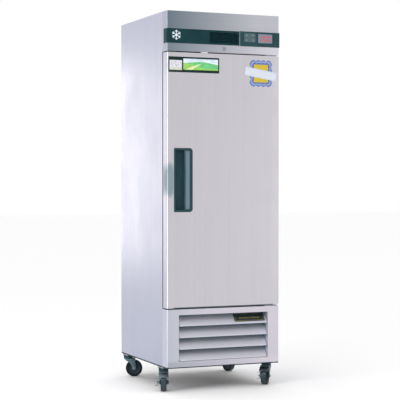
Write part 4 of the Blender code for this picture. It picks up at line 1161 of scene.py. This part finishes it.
def build_caster_plate(name, x, y):
    """The fixed plate with four bolts, and the pressed upper race."""
    bolt_x, bolt_y = 0.017, 0.032
    places = [(sx * bolt_x, sy * bolt_y) for sx, sy in CORNERS]
    slots = [centred(0.0036, 0.0058, 0.0034, 4, *place) for place in places]
    base = plate([centred(0.024, 0.04, 0.006), *slots], 0.004, shift(x, y, CASTER_TOP - 0.002), 0.0006)
    profile = ((0.012, 0.004), (0.0268, 0.004), (0.0284, 0.0056), (0.0287, 0.0094))
    profile += ((0.0276, 0.012), (0.0262, 0.0133), (0.012, 0.0133))
    race = lathe([(radius, CASTER_TOP - down) for radius, down in profile], (x, y, 0), "Z", 40)
    parts = [base, (race, 2)]
    for dx, dy in places:
        centre = (x + dx, y + dy)
        parts.append((cylinder((*centre, CASTER_TOP - 0.0062), 0.0056, 0.0044, "Z", 6, 0.0006), 1))
        parts.append((cylinder((*centre, CASTER_TOP - 0.0045), 0.0066, 0.0012, "Z", 20, 0.0003), 1))
    finishes = [ZINC, DARK_ZINC, SHADED_RACE_ZINC]
    piece(f"{name}_plate", parts, finishes, replaces=f"caster_plate_{name}")


def fork_legs():
    """Two legs that widen to the axle, with their edges folded inwards."""
    leg = [(-0.015, 0.1078), (-0.016, 0.1), (-0.008, 0.0935), (0.006, 0.085), (0.016, 0.074)]
    leg += [(0.022, 0.06), *arc(TRAIL, AXLE_HEIGHT, 0.012, -175, 20, 13)]
    leg += [(0.0425, 0.094), (0.0395, 0.1078)]
    front_fold = [(-0.0152, 0.106), (-0.016, 0.101), (-0.01, 0.096)]
    rear_fold = [(0.0406, 0.106), (0.0418, 0.0985), (0.0424, 0.095)]
    parts = []
    for side in SIDES:
        at_leg = shift(side * (FORK_INNER + FORK_SHEET / 2)) @ FACING_SIDE
        parts.append(plate([leg], FORK_SHEET, at_leg, 0.0006))
        ends = (side * (FORK_WIDE - 0.0006), side * (FORK_INNER - 0.0075))
        for fold in (front_fold, rear_fold):
            parts.append(bent([[(x, y, z) for x in ends] for y, z in fold], 0.0022))
    return parts


def wheel_guard():
    """A guard that follows the wheel from the crown down over its tread."""
    half = FORK_WIDE - 0.0004
    columns = (-half, -0.018, 0.0, 0.018, half)
    rows = []
    for angle in (82, 72, 62, 52, 43, 35):
        out, up = polar(0.0545, angle)
        rows.append([(x, TRAIL + out - 0.1 * abs(x) ** 1.5, AXLE_HEIGHT + up) for x in columns])
    return bent(rows, 0.0018)


def axle_bolt(ends):
    """The axle with a nut and washer at these ends."""
    parts = [cylinder(AXLE, 0.005, 2 * FORK_WIDE + 0.004, "X", 20)]
    for side in ends:
        x = side * FORK_WIDE
        parts.append(cylinder((x + side * 0.0022, *AXLE[1:]), 0.008, 0.0044, "X", 6, 0.0007))
        parts.append(cylinder((x + side * 0.0004, *AXLE[1:]), 0.0092, 0.001, "X", 24, 0.0003))
    return parts


def build_fork(name, place, braked):
    """Lower race, pressed crown, legs and their brace, the axle's bolt, and a guard if braked."""
    profile = [(0, 0.1198), (0.0245, 0.1198), (0.0274, 0.1185), (0.0282, 0.116), (0.0276, 0.1128)]
    profile += [(0.026, 0.1108), (0.024, 0.1094), (0, 0.1094)]
    crown = rectangle(-FORK_WIDE, FORK_WIDE, -0.0245, 0.041, 0.013, 5)
    parts = [(lathe(profile, steps=40), 2), plate([crown], 0.0062, shift(z=0.10635), 0.0014)]
    parts += fork_legs()
    parts.append(box_between((-FORK_INNER, -0.0165, 0.0975), (FORK_INNER, -0.0142, 0.105), 0.0006, 1))
    if braked:
        parts.append((wheel_guard(), 1))
    # a brake brings its own nut for its side
    parts += [(part, 1) for part in axle_bolt((-1,) if braked else SIDES)]
    parts.append((cylinder((0, 0, 0.1026), 0.0085, 0.0016, "Z", 24, 0.0006), 1))
    fork = moved(merged(*parts), place)
    piece(f"{name}_fork", fork, [SHADED_FORK_ZINC, DARK_ZINC, SHADED_RACE_ZINC], f"{name}_fork", f"caster_fork_{name}")


def build_wheel(name, place):
    """A crowned tread on a dished, ribbed core with a flanged hub."""
    half = [(0.037, 0.016), (0.0455, 0.0168), (0.0484, 0.016), (0.0496, 0.014), (0.05, 0.0105)]
    tread = lathe(mirrored(half), AXLE, "X", 56)
    half = [(0.0052, 0.0227), (0.0115, 0.0227), (0.0128, 0.0219), (0.0134, 0.012), (0.015, 0.0104)]
    half += [(0.032, 0.0104), (0.0345, 0.0118), (0.0358, 0.015), (0.0374, 0.0154)]
    parts = [tread, (lathe(mirrored(half), AXLE, "X", 48), 1)]
    for spoke in range(6):
        for side in SIDES:
            rib = block((side * 0.0114, 0, 0.02375), (0.0044, 0.0024, 0.0215), 0.0005)
            parts.append((moved(rib, shift(*AXLE) @ turned(60 * spoke, "X")), 1))
    wheel = merged(*parts)
    # the crown of the tread takes the glossy tread, whose lighter colour is a painted highlight
    for face in wheel.faces:
        x, y, z = face.calc_center_median() - Vector(AXLE)
        if math.hypot(y, z) > 0.0485 and abs(x) < 0.0135:
            face.material_index = 2
    finishes = [RUBBER, WHEEL_CORE, TREAD]
    piece(f"{name}_wheel", moved(wheel, place), finishes, f"{name}_wheel", f"caster_wheel_{name}")


def build_brake(name, place):
    """A rocking lever: a plate pinched beside its nut, with two bent, ribbed pads."""
    near = FORK_WIDE + 0.0012
    radius_y, radius_z = 0.0105, 0.0198
    outline = []
    for u, v in circle(0, 0, 1.0):
        outline.append((TRAIL + radius_y * u * (0.78 + 0.22 * v**2), AXLE_HEIGHT + radius_z * v))
    parts = [plate([outline], 0.0022, shift(near + 0.0011) @ FACING_SIDE, 0.0005)]
    reach = [near + 0.0008 + 0.02 * k / 5 for k in range(6)]
    for side in SIDES:
        z = AXLE_HEIGHT + side * 0.0185
        rows = []
        for k, x in enumerate(reach):
            lift = -side * 0.0012 * (k / 5) ** 2
            half = 0.009 if k < 5 else 0.0075
            rows.append([(x, TRAIL + across, z + lift) for across in (-half, 0.0, half)])
        parts.append(bent(rows, 0.0022))
        for x in reach[2:5]:
            parts.append(block((x, TRAIL, z - 0.0003), (0.0014, 0.014, 0.0032), 0.0004))
    parts.append((cylinder((near + 0.0044, *AXLE[1:]), 0.008, 0.0046, "X", 6, 0.0007), 1))
    parts.append((cylinder((near + 0.008, *AXLE[1:]), 0.0042, 0.003, "X", 16), 1))
    brake = moved(merged(*parts), place)
    piece(f"{name}_brake", brake, [ZINC, DARK_ZINC], f"{name}_brake", f"caster_brake_{name}")


for caster, (side, y, angle, braked) in CASTERS.items():
    place = shift(side * CASTER_X, y) @ turned(angle, "Z")
    build_caster_plate(caster, side * CASTER_X, y)
    build_fork(caster, place, braked)
    build_wheel(caster, place)
    if braked:
        build_brake(caster, place)


# ---------------------------------------------------------------- inside of the door
def build_inner_pan():
    """A pressed pan: flat under the gasket, raised in the middle, with a bead round the raised part."""
    low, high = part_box("door_pan")
    shape = ((0, 0, 0.002), (0.064, 0, 0.01), (0.0655, 0.05, 0.011), (0.069, 0.4, 0.013))
    shape += ((0.0745, 0.9, 0.016), (0.0775, 1, 0.018), (0.105, 1, 0.02), (0.1075, 0.86, 0.021))
    shape += ((0.1115, 0.86, 0.021), (0.114, 1, 0.022))
    rings = []
    for inset, rise, radius in shape:
        depth = low.y + (high.y - low.y) * rise
        rings.append(at_depth(around("door_pan", -inset, radius, 6), depth))
    pan = as_sheet(lofted(rings), 0.0011)
    piece("inner_door_pan", pan, INNER_STEEL, "door", "door_pan", 35.0)


def build_gasket():
    """A bellows with a magnet tube along its sealing face, mitred at the corners."""
    low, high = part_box("door_gasket")
    middle = 0.011  # half of its width
    half = [(0.009, 0), (0.0092, 0.0015), (0.0056, 0.0022), (0.0054, 0.003), (0.0088, 0.004)]
    half += [(0.0088, 0.0048), (0.0056, 0.0058), (0.006, 0.0066), (0.0104, 0.0074), (0.0108, 0.0094)]
    half += [(0.01, high.y - low.y - 0.0002)]
    bm = bmesh.new()
    rings = []
    for outward, rise in half + [(-across, rise) for across, rise in reversed(half)]:
        corners = around("door_gasket", outward - middle)
        rings.append([bm.verts.new(place) for place in at_depth(corners, low.y + 0.0001 + rise)])
    bridged(bm, rings, closed=True)
    bmesh.ops.recalc_face_normals(bm, faces=bm.faces)
    piece("magnetic_gasket", bm, GASKET, "door", "door_gasket", 28.0)


# ---------------------------------------------------------------- shelves, pilasters and clips
HANDS = ((-1, "left"), (1, "right"))
PILASTERS = [(side, f"pilaster_{hand}_{end}") for side, hand in HANDS for end in ("front", "rear")]


def build_pilaster(side, name):
    """A channel against the liner's wall, its web slotted for the shelf clips."""
    low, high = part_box(name)
    y = (low.y + high.y) / 2
    inner_x, wall_x = (high.x, low.x) if side < 0 else (low.x, high.x)
    pitch, lowest = 0.0254, low.z + 0.02
    slots = int((high.z - low.z - 0.03) / pitch)
    loops = [rectangle(-0.008, 0.008, low.z, high.z, 0.0015, 2)]
    loops += [centred(0.0022, 0.0047, y=lowest + pitch * k) for k in range(slots)]
    parts = [plate(loops, 0.0012, shift(inner_x + side * 0.0006, y) @ FACING_SIDE)]
    for flange_y in (y - 0.0074, y + 0.0074):
        corner = (inner_x + side * 0.001, flange_y - 0.0006, low.z)
        far = (wall_x - side * 0.0001, flange_y + 0.0006, high.z)
        parts.append(box_between(corner, far, 0.0004, 1))
    piece(f"slotted_{name}", parts, INNER_STEEL, replaces=name)


def build_shelf(number):
    """Coated wire: a stout frame, thin wires front to back and cross bars under them."""
    low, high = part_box(f"shelf_{number}")
    frame_wire, thin, bar = 0.003, 0.0016, 0.0021
    inset = frame_wire + 0.0002
    x1, y0, y1 = high.x - inset, low.y + inset, high.y - inset
    level, middle = low.z, low.z + 0.0042
    corners = [(x, y, middle) for x, y in rectangle(-x1, x1, y0, y1)]
    parts = [tube(round_corners(corners, 0.014, 5, True), frame_wire, 10, True)]
    wires = 22
    for k in range(wires):
        x = -x1 + 2 * x1 * (k + 0.5) / wires
        line = ((y0 - 0.001, middle + 0.0016), (y0 + 0.008, level + 0.0062))
        line += ((y1 - 0.008, level + 0.0062), (y1 + 0.001, middle + 0.0016))
        parts.append(tube([(x, y, z) for y, z in line], thin, 6))
    for k in range(4):
        y = y0 + (y1 - y0) * (0.12 + 0.76 * k / 3)
        parts.append(tube([(-x1, y, level + 0.0026), (x1, y, level + 0.0026)], bar, 8))
    piece(f"wire_shelf_{number}", parts, WIRE_COAT, replaces=f"shelf_{number}")
    build_clips(number, level)


def build_clips(number, level):
    """Four bent clips, hooked into the pilasters' slots under the shelf's frame."""
    line = [(0.0024, -0.0062), (-0.0008, -0.0056), (-0.0012, -0.019), (-0.004, -0.0196)]
    line += [(-0.013, -0.004), (-0.013, -0.0008), (-0.0012, -0.0008)]
    parts = []
    for side, name in PILASTERS:
        low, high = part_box(name)
        y = (low.y + high.y) / 2
        face = min(abs(low.x), abs(high.x))
        points = round_corners([(side * (face + x), 0, level + z) for x, z in line], 0.002, 3)
        edges = (y - 0.0019, y + 0.0019)
        parts.append(bent([[(p.x, edge, p.z) for p in points] for edge in edges], 0.001))
    piece(f"shelf_clips_{number}", parts, ZINC)


# ---------------------------------------------------------------- fans and coils
def build_fan(node, centre, radius, blades):
    """An axial fan: a domed hub and curved, twisted blades, blowing along Y."""
    hub = radius * 0.27
    profile = [(0, -0.0105), (hub * 0.72, -0.0098), (hub * 0.94, -0.007), (hub, -0.003)]
    profile += [(hub, 0.0105), (hub - 0.002, 0.0105), (hub - 0.002, 0), (0, 0)]
    parts = [lathe(profile, centre, "Y", 36)]
    sweep, lag = 360 / blades * 0.62, 12.605  # degrees that a blade covers, and that its tip trails
    root, tip = hub * 0.92, radius * 0.985
    for blade in range(blades):
        rows = []
        for t in (i / 6 for i in range(7)):
            row = []
            for s in (j / 4 - 1 for j in range(9)):
                angle = 360 * blade / blades + sweep * (0.5 - 0.1 * t) * s + lag * t * t
                x, z = polar(root + (tip - root) * t - radius * 0.05 * t**4 * s * s, angle)
                y = (0.0085 - 0.0015 * t) * s + 0.0022 * (1 - s * s)
                row.append((centre[0] + x, centre[1] + y, centre[2] + z))
            rows.append(row)
        parts.append(bent(rows, 0.0013))
    clip = [(0, -0.0122), (0.003, -0.0118), (0.0036, -0.0104), (0, -0.0104)]
    parts.append((lathe(clip, centre, "Y", 16), 1))
    piece(f"{node}_blades", parts, [DARK_PLASTIC, ZINC], node, node, 40.0)


def build_coil(name, node, columns, rows, fins):
    """Aluminium fins on copper tubes that run along X, with end plates and return bends."""
    low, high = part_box(node)
    middle, size, bend, radius = (low + high) / 2, high - low, 0.011, 0.004
    left, right = low.x + bend, high.x - bend
    parts = []
    for k in range(fins):
        x = left + 0.002 + (right - left - 0.004) * k / (fins - 1)
        fin = (0.00036, size.y - 0.002, size.z - 0.002)
        parts.append(block((x, middle.y, middle.z), fin, 0))
    for x in (left, right):
        parts.append((block((x, middle.y, middle.z), (0.0016, size.y, size.z), 0.0003, 1), 1))
    places = []
    for j in range(rows):
        for i in range(columns) if j % 2 == 0 else reversed(range(columns)):
            places.append((low.y + size.y * (i + 0.5) / columns, low.z + size.z * (j + 0.5) / rows))
    for k, (y, z) in enumerate(places):
        parts.append((tube([(left - 0.002, y, z), (right + 0.002, y, z)], radius), 2))
        if k + 1 < len(places):
            next_y, next_z = places[k + 1]
            end, out = (right, 1) if k % 2 == 0 else (left, -1)
            line = []
            for t in (math.pi * step / 8 for step in range(9)):
                reach = (1 - math.cos(t)) / 2
                place = (y + (next_y - y) * reach, z + (next_z - z) * reach)
                line.append((end + out * 0.0065 * math.sin(t), *place))
            parts.append((tube(line, radius), 2))
    piece(name, parts, [FIN_METAL, ZINC_SHEET, COPPER], replaces=node, smooth=35.0)


# ---------------------------------------------------------------- evaporator and lamp
EVAPORATOR_HUB = Vector((0, -0.1, 1.95835))
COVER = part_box("evaporator_cover")


def about_hub(radius, degrees, y):
    """A point at this depth, at a radius and an angle about the fan's axle."""
    x, z = polar(radius, degrees)
    return (x, y, EVAPORATOR_HUB.z + z)


def build_fan_guard():
    """Rings and bent spokes of wire in front of the evaporator's fan, with a cap in the middle."""
    y = COVER[0].y - 0.0034
    rings = [(radius, y, 0.0012) for radius in (0.02, 0.034, 0.048, 0.062)]
    parts = []
    for radius, depth, wire in (*rings, (0.0815, COVER[0].y - 0.0018, 0.0016)):
        parts.append(tube([about_hub(radius, 9 * k, depth) for k in range(40)], wire, 8, True))
    line = ((0.018, y - 0.0012), (0.064, y - 0.0012), (0.08, COVER[0].y - 0.0026))
    for k in range(8):
        parts.append(tube([about_hub(reach, 45 * k + 22.5, depth) for reach, depth in line], 0.0011, 8))
    parts.append(cylinder(about_hub(0, 0, y - 0.001), 0.0165, 0.0022, "Y", 28))
    piece("evaporator_fan_guard", parts, WIRE_COAT)


def build_evaporator_motor():
    """A small motor behind the fan, held by three bent rods."""
    profile = [(0, -0.088), (0.02, -0.088), (0.024, -0.084), (0.024, -0.056), (0.02, -0.05), (0, -0.05)]
    parts = [lathe(profile, (0, 0, EVAPORATOR_HUB.z), "Y", 36)]
    parts.append((cylinder(about_hub(0, 0, -0.0895), 0.003, 0.012, "Y", 14), 1))
    line = ((0.02, -0.07), (0.06, -0.07), (0.078, -0.1265), (0.0795, -0.1278))
    for angle in (90, 210, 330):
        points = [about_hub(radius, angle, y) for radius, y in line]
        parts.append((tube(round_corners(points, 0.01, 4), 0.002, 8), 1))
    piece("evaporator_fan_motor", parts, [ENAMEL, ZINC], smooth=35.0)


def build_cover_details():
    """Screws round the evaporator's cover, and a row of air slots behind raised lips under it."""
    low, high = COVER
    screws = []
    for x in (-0.245, -0.15, 0.15, 0.245):
        for z in (low.z + 0.016, high.z - 0.02):
            screws.append(screw_head((x, low.y, z), 0.0038))
    for y in (-0.09, 0.08, 0.25):
        for side, x in ((-1, low.x), (1, high.x)):
            screws.append(screw_head((x, y, low.z + 0.016), 0.0038, "X", side))
    piece("cover_screws", screws, ZINC)
    lips = []
    across = ((0.065, 0.15), (0.08, 1), (0.205, 1), (0.22, 0.15))
    for side in SIDES:
        for k in range(9):
            rows = []
            for t in (s / 4 for s in range(5)):
                y, drop = 0.03 + 0.026 * k + 0.012 * t, 0.0055 * math.sin(math.pi * t)
                rows.append([(side * x, y, low.z - 0.0003 - drop * share) for x, share in across])
            lips.append(as_sheet(grid_surface(rows), 0.0008, 1.0))
    piece("cover_air_lips", lips, ALUMINIUM)


def build_lamp():
    centre = (-0.175, -0.085, COVER[0].z)
    base = [(0, 0), (0.03, 0), (0.032, -0.002), (0.032, -0.01), (0.029, -0.013), (0, -0.013)]
    piece("lamp_base", lathe(base, centre, "Z", 36), PALE_PLASTIC)
    globe = [(0, -0.0128), (0.0265, -0.0128), (0.027, -0.02), (0.024, -0.031), (0.016, -0.039)]
    piece("lamp_globe", lathe([*globe, (0, -0.042)], centre, "Z", 36), LAMP_GLASS, smooth=50.0)


# ---------------------------------------------------------------- machine compartment
CONDENSER_HUB = (-0.085, -0.2, 0.293)
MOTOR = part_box("condenser_fan_motor")
MOTOR_FRONT, MOTOR_BACK = -0.18, -0.12
COMPRESSOR = (0.185, 0.12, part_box("compressor")[0].z)  # under the middle of its shell


def fan_motor_body():
    """A shaded-pole motor with vented end bells, and its shaft."""
    x, _, z = CONDENSER_HUB
    bell = [(0, 0.001), (0.026, 0.001), (0.034, 0.005), (0.0385, 0.012), (0.0385, 0.021), (0.036, 0.0215)]
    profile = [(radius, MOTOR_FRONT + along) for radius, along in bell]
    bell = [(0.036, 0.0215), (0.0385, 0.021), (0.0385, 0.01), (0.034, 0.003), (0.026, 0), (0, 0)]
    profile += [(radius, MOTOR_BACK - along) for radius, along in bell]
    parts = [lathe(profile, (x, 0, z), "Y", 40)]
    parts.append((cylinder((x, MOTOR_FRONT - 0.005, z), 0.004, 0.014, "Y", 14), 1))
    for k in range(10):
        vent = block((0.03, MOTOR_FRONT + 0.0035, 0), (0.007, 0.006, 0.0044), 0.0006)
        parts.append(moved(vent, shift(x, 0, z) @ turned(36 * k, "Y")))
    return parts


def fan_motor_stand():
    """A folded strap behind the motor, bolted to two footed posts."""
    low, high = MOTOR
    x, _, z = CONDENSER_HUB
    y = MOTOR_BACK + 0.0135
    strap = (low.x + 0.001, low.x + 0.006, x - 0.04, x + 0.04, high.x - 0.001)
    parts = [bent([[(px, y, z + dz) for px in strap] for dz in (-0.011, 0.011)], 0.002)]
    parts.append(cylinder((x, MOTOR_BACK + 0.0065, z), 0.012, 0.014, "Y"))
    for side, edge in ((-1, low.x), (1, high.x)):
        px = edge - side * 0.0012
        ends = (low.z + 0.001, z + 0.011)
        parts.append(bent([[(px, y + dy, pz) for pz in ends] for dy in (-0.013, 0.013)], 0.0018))
        parts.append(block((px - side * 0.012, y, low.z + 0.0011), (0.024, 0.026, 0.0018), 0.0004, 1))
        parts.append(hex_bolt((px - side * 0.014, y, low.z + 0.002), "Z", 1, 0.0045))
        parts.append(hex_bolt((px - side * 0.01, y + 0.001, z), "Y", 1, 0.004))
    return parts


def build_fan_motor():
    parts = fan_motor_body() + [(part, 1) for part in fan_motor_stand()]
    piece("fan_motor_assembly", parts, [ENAMEL, ZINC], replaces="condenser_fan_motor", smooth=35.0)


def compressor_shell():
    profile = [(0, 0.214), (0.02, 0.2132), (0.042, 0.2105), (0.06, 0.2045), (0.073, 0.194)]
    profile += [(0.081, 0.179), (0.0845, 0.16), (0.085, 0.12), (0.0868, 0.1185), (0.0905, 0.118)]
    profile += [(0.0912, 0.114), (0.0905, 0.11), (0.0868, 0.1095), (0.0845, 0.108), (0.0835, 0.056)]
    profile += [(0.079, 0.038), (0.068, 0.026), (0.05, 0.02), (0, 0.018)]
    return lathe(profile, COMPRESSOR, "Z", 56)


def compressor_bed():
    """A plate with two ribs, on four grommets with their bolts."""
    x, y, floor = COMPRESSOR
    feet = [(sx * 0.078, sy * 0.063) for sx, sy in CORNERS]
    bed = [centred(0.094, 0.079, 0.018, 5), *[circle(*foot, 0.0105, 20) for foot in feet]]
    parts = [plate(bed, 0.003, shift(x, y, floor + 0.0125), 0.0006)]
    for side in SIDES:
        parts.append(block((x, y + side * 0.05, floor + 0.0215), (0.12, 0.003, 0.017), 0.0006, 1))
    grommet = [(0.0045, 0.0005), (0.015, 0.0005), (0.015, 0.01), (0.01, 0.0112)]
    grommet += [(0.01, 0.014), (0.0135, 0.015), (0.0125, 0.02), (0.0045, 0.0205)]
    for dx, dy in feet:
        parts.append((lathe(grommet, (x + dx, y + dy, floor), "Z", 24), 1))
        parts.append((hex_bolt((x + dx, y + dy, floor + 0.0205), size=0.0052), 2))
    return parts


def build_compressor():
    """A welded shell on its bed, the terminal box in front and a seal on top."""
    x, y, floor = COMPRESSOR
    parts = [compressor_shell(), *compressor_bed()]
    middle_z, lid_y = floor + 0.1075, y - 0.1072
    parts.append((block((x, y - 0.0925, middle_z), (0.068, 0.025, 0.085), 0.0045, 3), 3))
    parts.append((block((x, lid_y + 0.00135, middle_z), (0.06, 0.0027, 0.075), 0.002), 3))
    parts.append((screw_head((x, lid_y, middle_z), 0.004), 2))
    seal = [(0, 0.213), (0.012, 0.213), (0.012, 0.215), (0, 0.2152)]
    parts.append((lathe(seal, COMPRESSOR, "Z", 24), 2))
    finishes = [ENAMEL, RUBBER, ZINC, DARK_PLASTIC]
    piece("hermetic_compressor", parts, finishes, replaces="compressor", smooth=38.0)


def piped(points, radius, bend=0.028, sides=12):
    return tube(round_corners(points, bend, 6), radius, sides)


def discharge_line(front, left):
    """From the compressor, to and fro through the tray, then up to the condenser."""
    condenser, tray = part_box("condenser_coil"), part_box("condensate_pan")
    ends = (tray[1].x - 0.035, tray[0].x + 0.035)
    first_y, row_z, upper = tray[0].y + 0.045, tray[0].z + 0.016, 0.246
    line = [(0.104, 0.12, 0.222), (0.066, 0.122, upper), (ends[0], first_y, upper)]
    rows = [first_y + 0.042 * k for k in range(5)]
    for k, y in enumerate(rows):
        line += [(ends[k % 2], y, row_z), (ends[1 - k % 2], y, row_z)]
    line += [(ends[1], rows[-1], 0.236), (left, rows[-1] - 0.02, 0.236), (left, -0.12, 0.236)]
    top = condenser[1].z - 0.012
    return line + [(left, front, 0.3), (left, front, top), (condenser[0].x + 0.009, front, top)]


def filter_drier():
    """A spun copper can with drawn ends, leaning up towards the compressor."""
    start, end = Vector((0.15, -0.134, 0.169)), Vector((0.15, 0.004, 0.2075))
    length = (end - start).length
    near_half = [(0, 0), (0.0034, 0), (0.0042, 0.008), (0.01, 0.02), (0.0115, 0.03)]
    far_half = [(0.0115, 0.03), (0.01, 0.02), (0.004, 0.008), (0.0032, 0), (0, 0)]
    can = lathe(near_half + [(radius, length - along) for radius, along in far_half], steps=28)
    return moved(can, shift(*start) @ (end - start).to_track_quat("Z", "Y").to_matrix().to_4x4())


def build_pipes():
    """Discharge, liquid and suction lines, the filter drier and the suction line's sleeve."""
    front, left = -0.262, -0.29
    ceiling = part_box("insulated_body")[0].z - 0.0004
    liquid = [(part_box("condenser_coil")[1].x - 0.009, front, 0.152), (0.15, front, 0.152)]
    liquid += [(0.15, -0.2, 0.152), (0.15, -0.13, 0.17)]
    after = [(0.15, 0.0, 0.206), (0.085, 0.055, 0.23), (0.06, 0.07, 0.3), (0.06, 0.07, ceiling)]
    suction = [(0.15, 0.195, 0.245), (0.13, 0.235, 0.262), (0.095, 0.28, 0.3), (0.095, 0.3, 0.33)]
    parts = [piped(discharge_line(front, left), 0.0034, 0.018), piped(liquid, 0.0032)]
    parts += [piped(after, 0.0026), piped(suction, 0.0048), filter_drier()]
    piece("refrigerant_pipes", parts, COPPER, smooth=50.0)
    sleeve = [(0.1, 0.275, 0.294), (0.095, 0.3, 0.335), (0.095, 0.3, ceiling)]
    piece("suction_sleeve", piped(sleeve, 0.0105, sides=16), RUBBER, smooth=50.0)


def build_condensate_pan():
    """A pressed tray with a rolled rim."""
    low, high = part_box("condensate_pan")
    rim = ((0.003, -0.004, 0.016), (0, -0.003, 0.018), (0, -0.0008, 0.018), (0.003, 0, 0.016))
    rim += ((0.0042, -0.0014, 0.015),)
    bowl = ((0.0075, 0.011, 0.014), (0.01, 0.004, 0.013), (0.017, 0.0008, 0.01))
    bowl += ((0.05, 0.0008, 0.008),)
    stages = [(inset, high.z + dz, radius) for inset, dz, radius in rim]
    stages += [(inset, low.z + dz, radius) for inset, dz, radius in bowl]
    rings = []
    for inset, z, radius in stages:
        outline = rectangle(low.x + inset, high.x - inset, low.y + inset, high.y - inset, radius, 5)
        rings.append([(x, y, z) for x, y in outline])
    tray = as_sheet(lofted(rings), 0.0008, 0.0)
    piece("condensate_tray", tray, ZINC_SHEET, replaces="condensate_pan", smooth=40.0)


def build_inlet():
    """A three-pin inlet: a flanged shroud with a chamfered socket."""
    low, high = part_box("power_inlet")
    x, z = (low.x + high.x) / 2, (low.z + high.z) / 2
    front, face = low.y + 0.0002, high.y
    stages = ((0, front, 0.003), (0, face - 0.001, 0.003), (0.001, face, 0.0026))
    stages += ((0.0045, face, 0.003), (0.0052, face - 0.0006, 0.0028), (0.0055, front + 0.0012, 0.0028))
    shroud = lofted([at_depth(around("power_inlet", -inset, radius), y) for inset, y, radius in stages])
    bmesh.ops.contextual_create(shroud, geom=[e for e in shroud.edges if e.is_boundary])
    bmesh.ops.recalc_face_normals(shroud, faces=shroud.faces)
    parts = [shroud]
    for dx, dz in ((-0.007, -0.0012), (0.0, 0.0016), (0.007, -0.0012)):
        pin_low = (x + dx - 0.001, front + 0.0011, z + dz - 0.0022)
        pin_high = (x + dx + 0.001, face - 0.001, z + dz + 0.0022)
        parts.append((box_between(pin_low, pin_high, 0.0003), 1))
    piece("mains_inlet", parts, [DARK_PLASTIC, ZINC], replaces="power_inlet")


def build_screws():
    """Screws on the rear panel, the roof and the hinge leaves."""
    places = [(side * 0.319, 0.17 + 0.237 * k) for side in SIDES for k in range(9)]
    places += [(x, z) for x in (-0.2, -0.07, 0.07, 0.2) for z in (2.098, 0.44)]
    piece("rear_screws", [screw_head((x, REAR, z), 0.004, "Y", 1) for x, z in places], ZINC)
    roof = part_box("top_panel")[1].z
    heads = []
    for side in SIDES:
        for k in range(5):
            heads.append(screw_head((side * 0.325, -0.285 + 0.155 * k, roof), 0.004, "Z", 1))
    heads = merged(*heads)
    for vertex in heads.verts:
        # sunk, so that the heads stand 0.6 mm over the roof
        vertex.co.z = roof + (vertex.co.z - roof) * 0.3
    piece("roof_screws", heads, ZINC)
    top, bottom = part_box("top_hinge")[1].z - 0.003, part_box("bottom_hinge")[0].z + 0.003
    places = [(x, z, outward) for x in (0.276, 0.3) for z, outward in ((top, -1), (bottom, 1))]
    heads = [screw_head((x, -0.318, z), 0.0034, "Z", outward) for x, z, outward in places]
    piece("hinge_screws", heads, ZINC)


build_inner_pan()
build_gasket()
for side, name in PILASTERS:
    build_pilaster(side, name)
for number in (1, 2, 3):
    build_shelf(number)
build_coil("evaporator_fins", "evaporator_coil", 4, 3, 72)
build_fan("evaporator_fan", EVAPORATOR_HUB, 0.07, 4)
build_fan_guard()
build_evaporator_motor()
build_cover_details()
build_lamp()
build_coil("condenser_fins", "condenser_coil", 2, 8, 76)
build_fan("condenser_fan", CONDENSER_HUB, 0.1, 5)
build_fan_motor()
build_compressor()
build_pipes()
build_condensate_pan()
build_inlet()
build_screws()


# ---------------------------------------------------------------- stage, lights and camera
def aimed(obj, location, direction):
    obj.location = location
    obj.rotation_euler = direction.to_track_quat("-Z", "Y").to_euler()
    return obj


def area_light(name, location, target, size, energy, colour=(1, 1, 1)):
    data = bpy.data.lights.new(name, "AREA")
    data.shape, data.size, data.size_y = "RECTANGLE", *size
    data.energy, data.color = energy, colour
    light = aimed(linked(name, data), location, Vector(target) - Vector(location))
    light.visible_camera = False


def build_stage():
    mesh = bpy.data.meshes.new("floor")
    bm = bmesh.new()
    bmesh.ops.create_grid(bm, x_segments=1, y_segments=1, size=40.0)
    bm.to_mesh(mesh)
    bm.free()
    mesh.materials.append(Material("floor_white", (0.97, 0.97, 0.97), 0.85).material)
    linked("floor", mesh)

    world = bpy.data.worlds.new("studio")
    bpy.context.scene.world = world
    world.use_nodes = True
    background = world.node_tree.nodes["Background"]
    background.inputs["Color"].default_value = (1.0, 1.0, 1.0, 1.0)
    background.inputs["Strength"].default_value = 1.0
    area_light("key_light", (-3.2, -3.6, 3.6), (0, 0, 1.1), (2.0, 2.0), 40)
    warm, rosy = (1.0, 0.93, 0.82), (1.0, 0.96, 1.0)
    area_light("side_light", (-0.95, 2.9, 1.33), (-0.343, 0.3, 1.15), (1.0, 1.6), 9.0, warm)
    area_light("fill_light", (3.4, -4.9, 1.1), (0.3, -0.38, 1.1), (1.4, 2.6), 8, rosy)
    area_light("corner_light", (-4.6, -2.0, 1.15), (-0.343, -0.38, 1.15), (0.9, 2.4), 80)


def build_camera():
    """The photograph's viewpoint: left of the cabinet, at half its height, through a long lens."""
    data = bpy.data.cameras.new("camera")
    data.lens, data.sensor_width, data.clip_end = 117.0, 36.0, 100.0
    yaw, pitch = math.radians(22.854), math.radians(-0.688)
    level = math.cos(pitch)
    forward = Vector((math.sin(yaw) * level, math.cos(yaw) * level, math.sin(pitch)))
    bpy.context.scene.camera = aimed(linked("camera", data), (-2.956, -7.045, 1.1534), forward)


build_stage()
build_camera()
bpy.context.scene.view_settings.view_transform = "Standard"
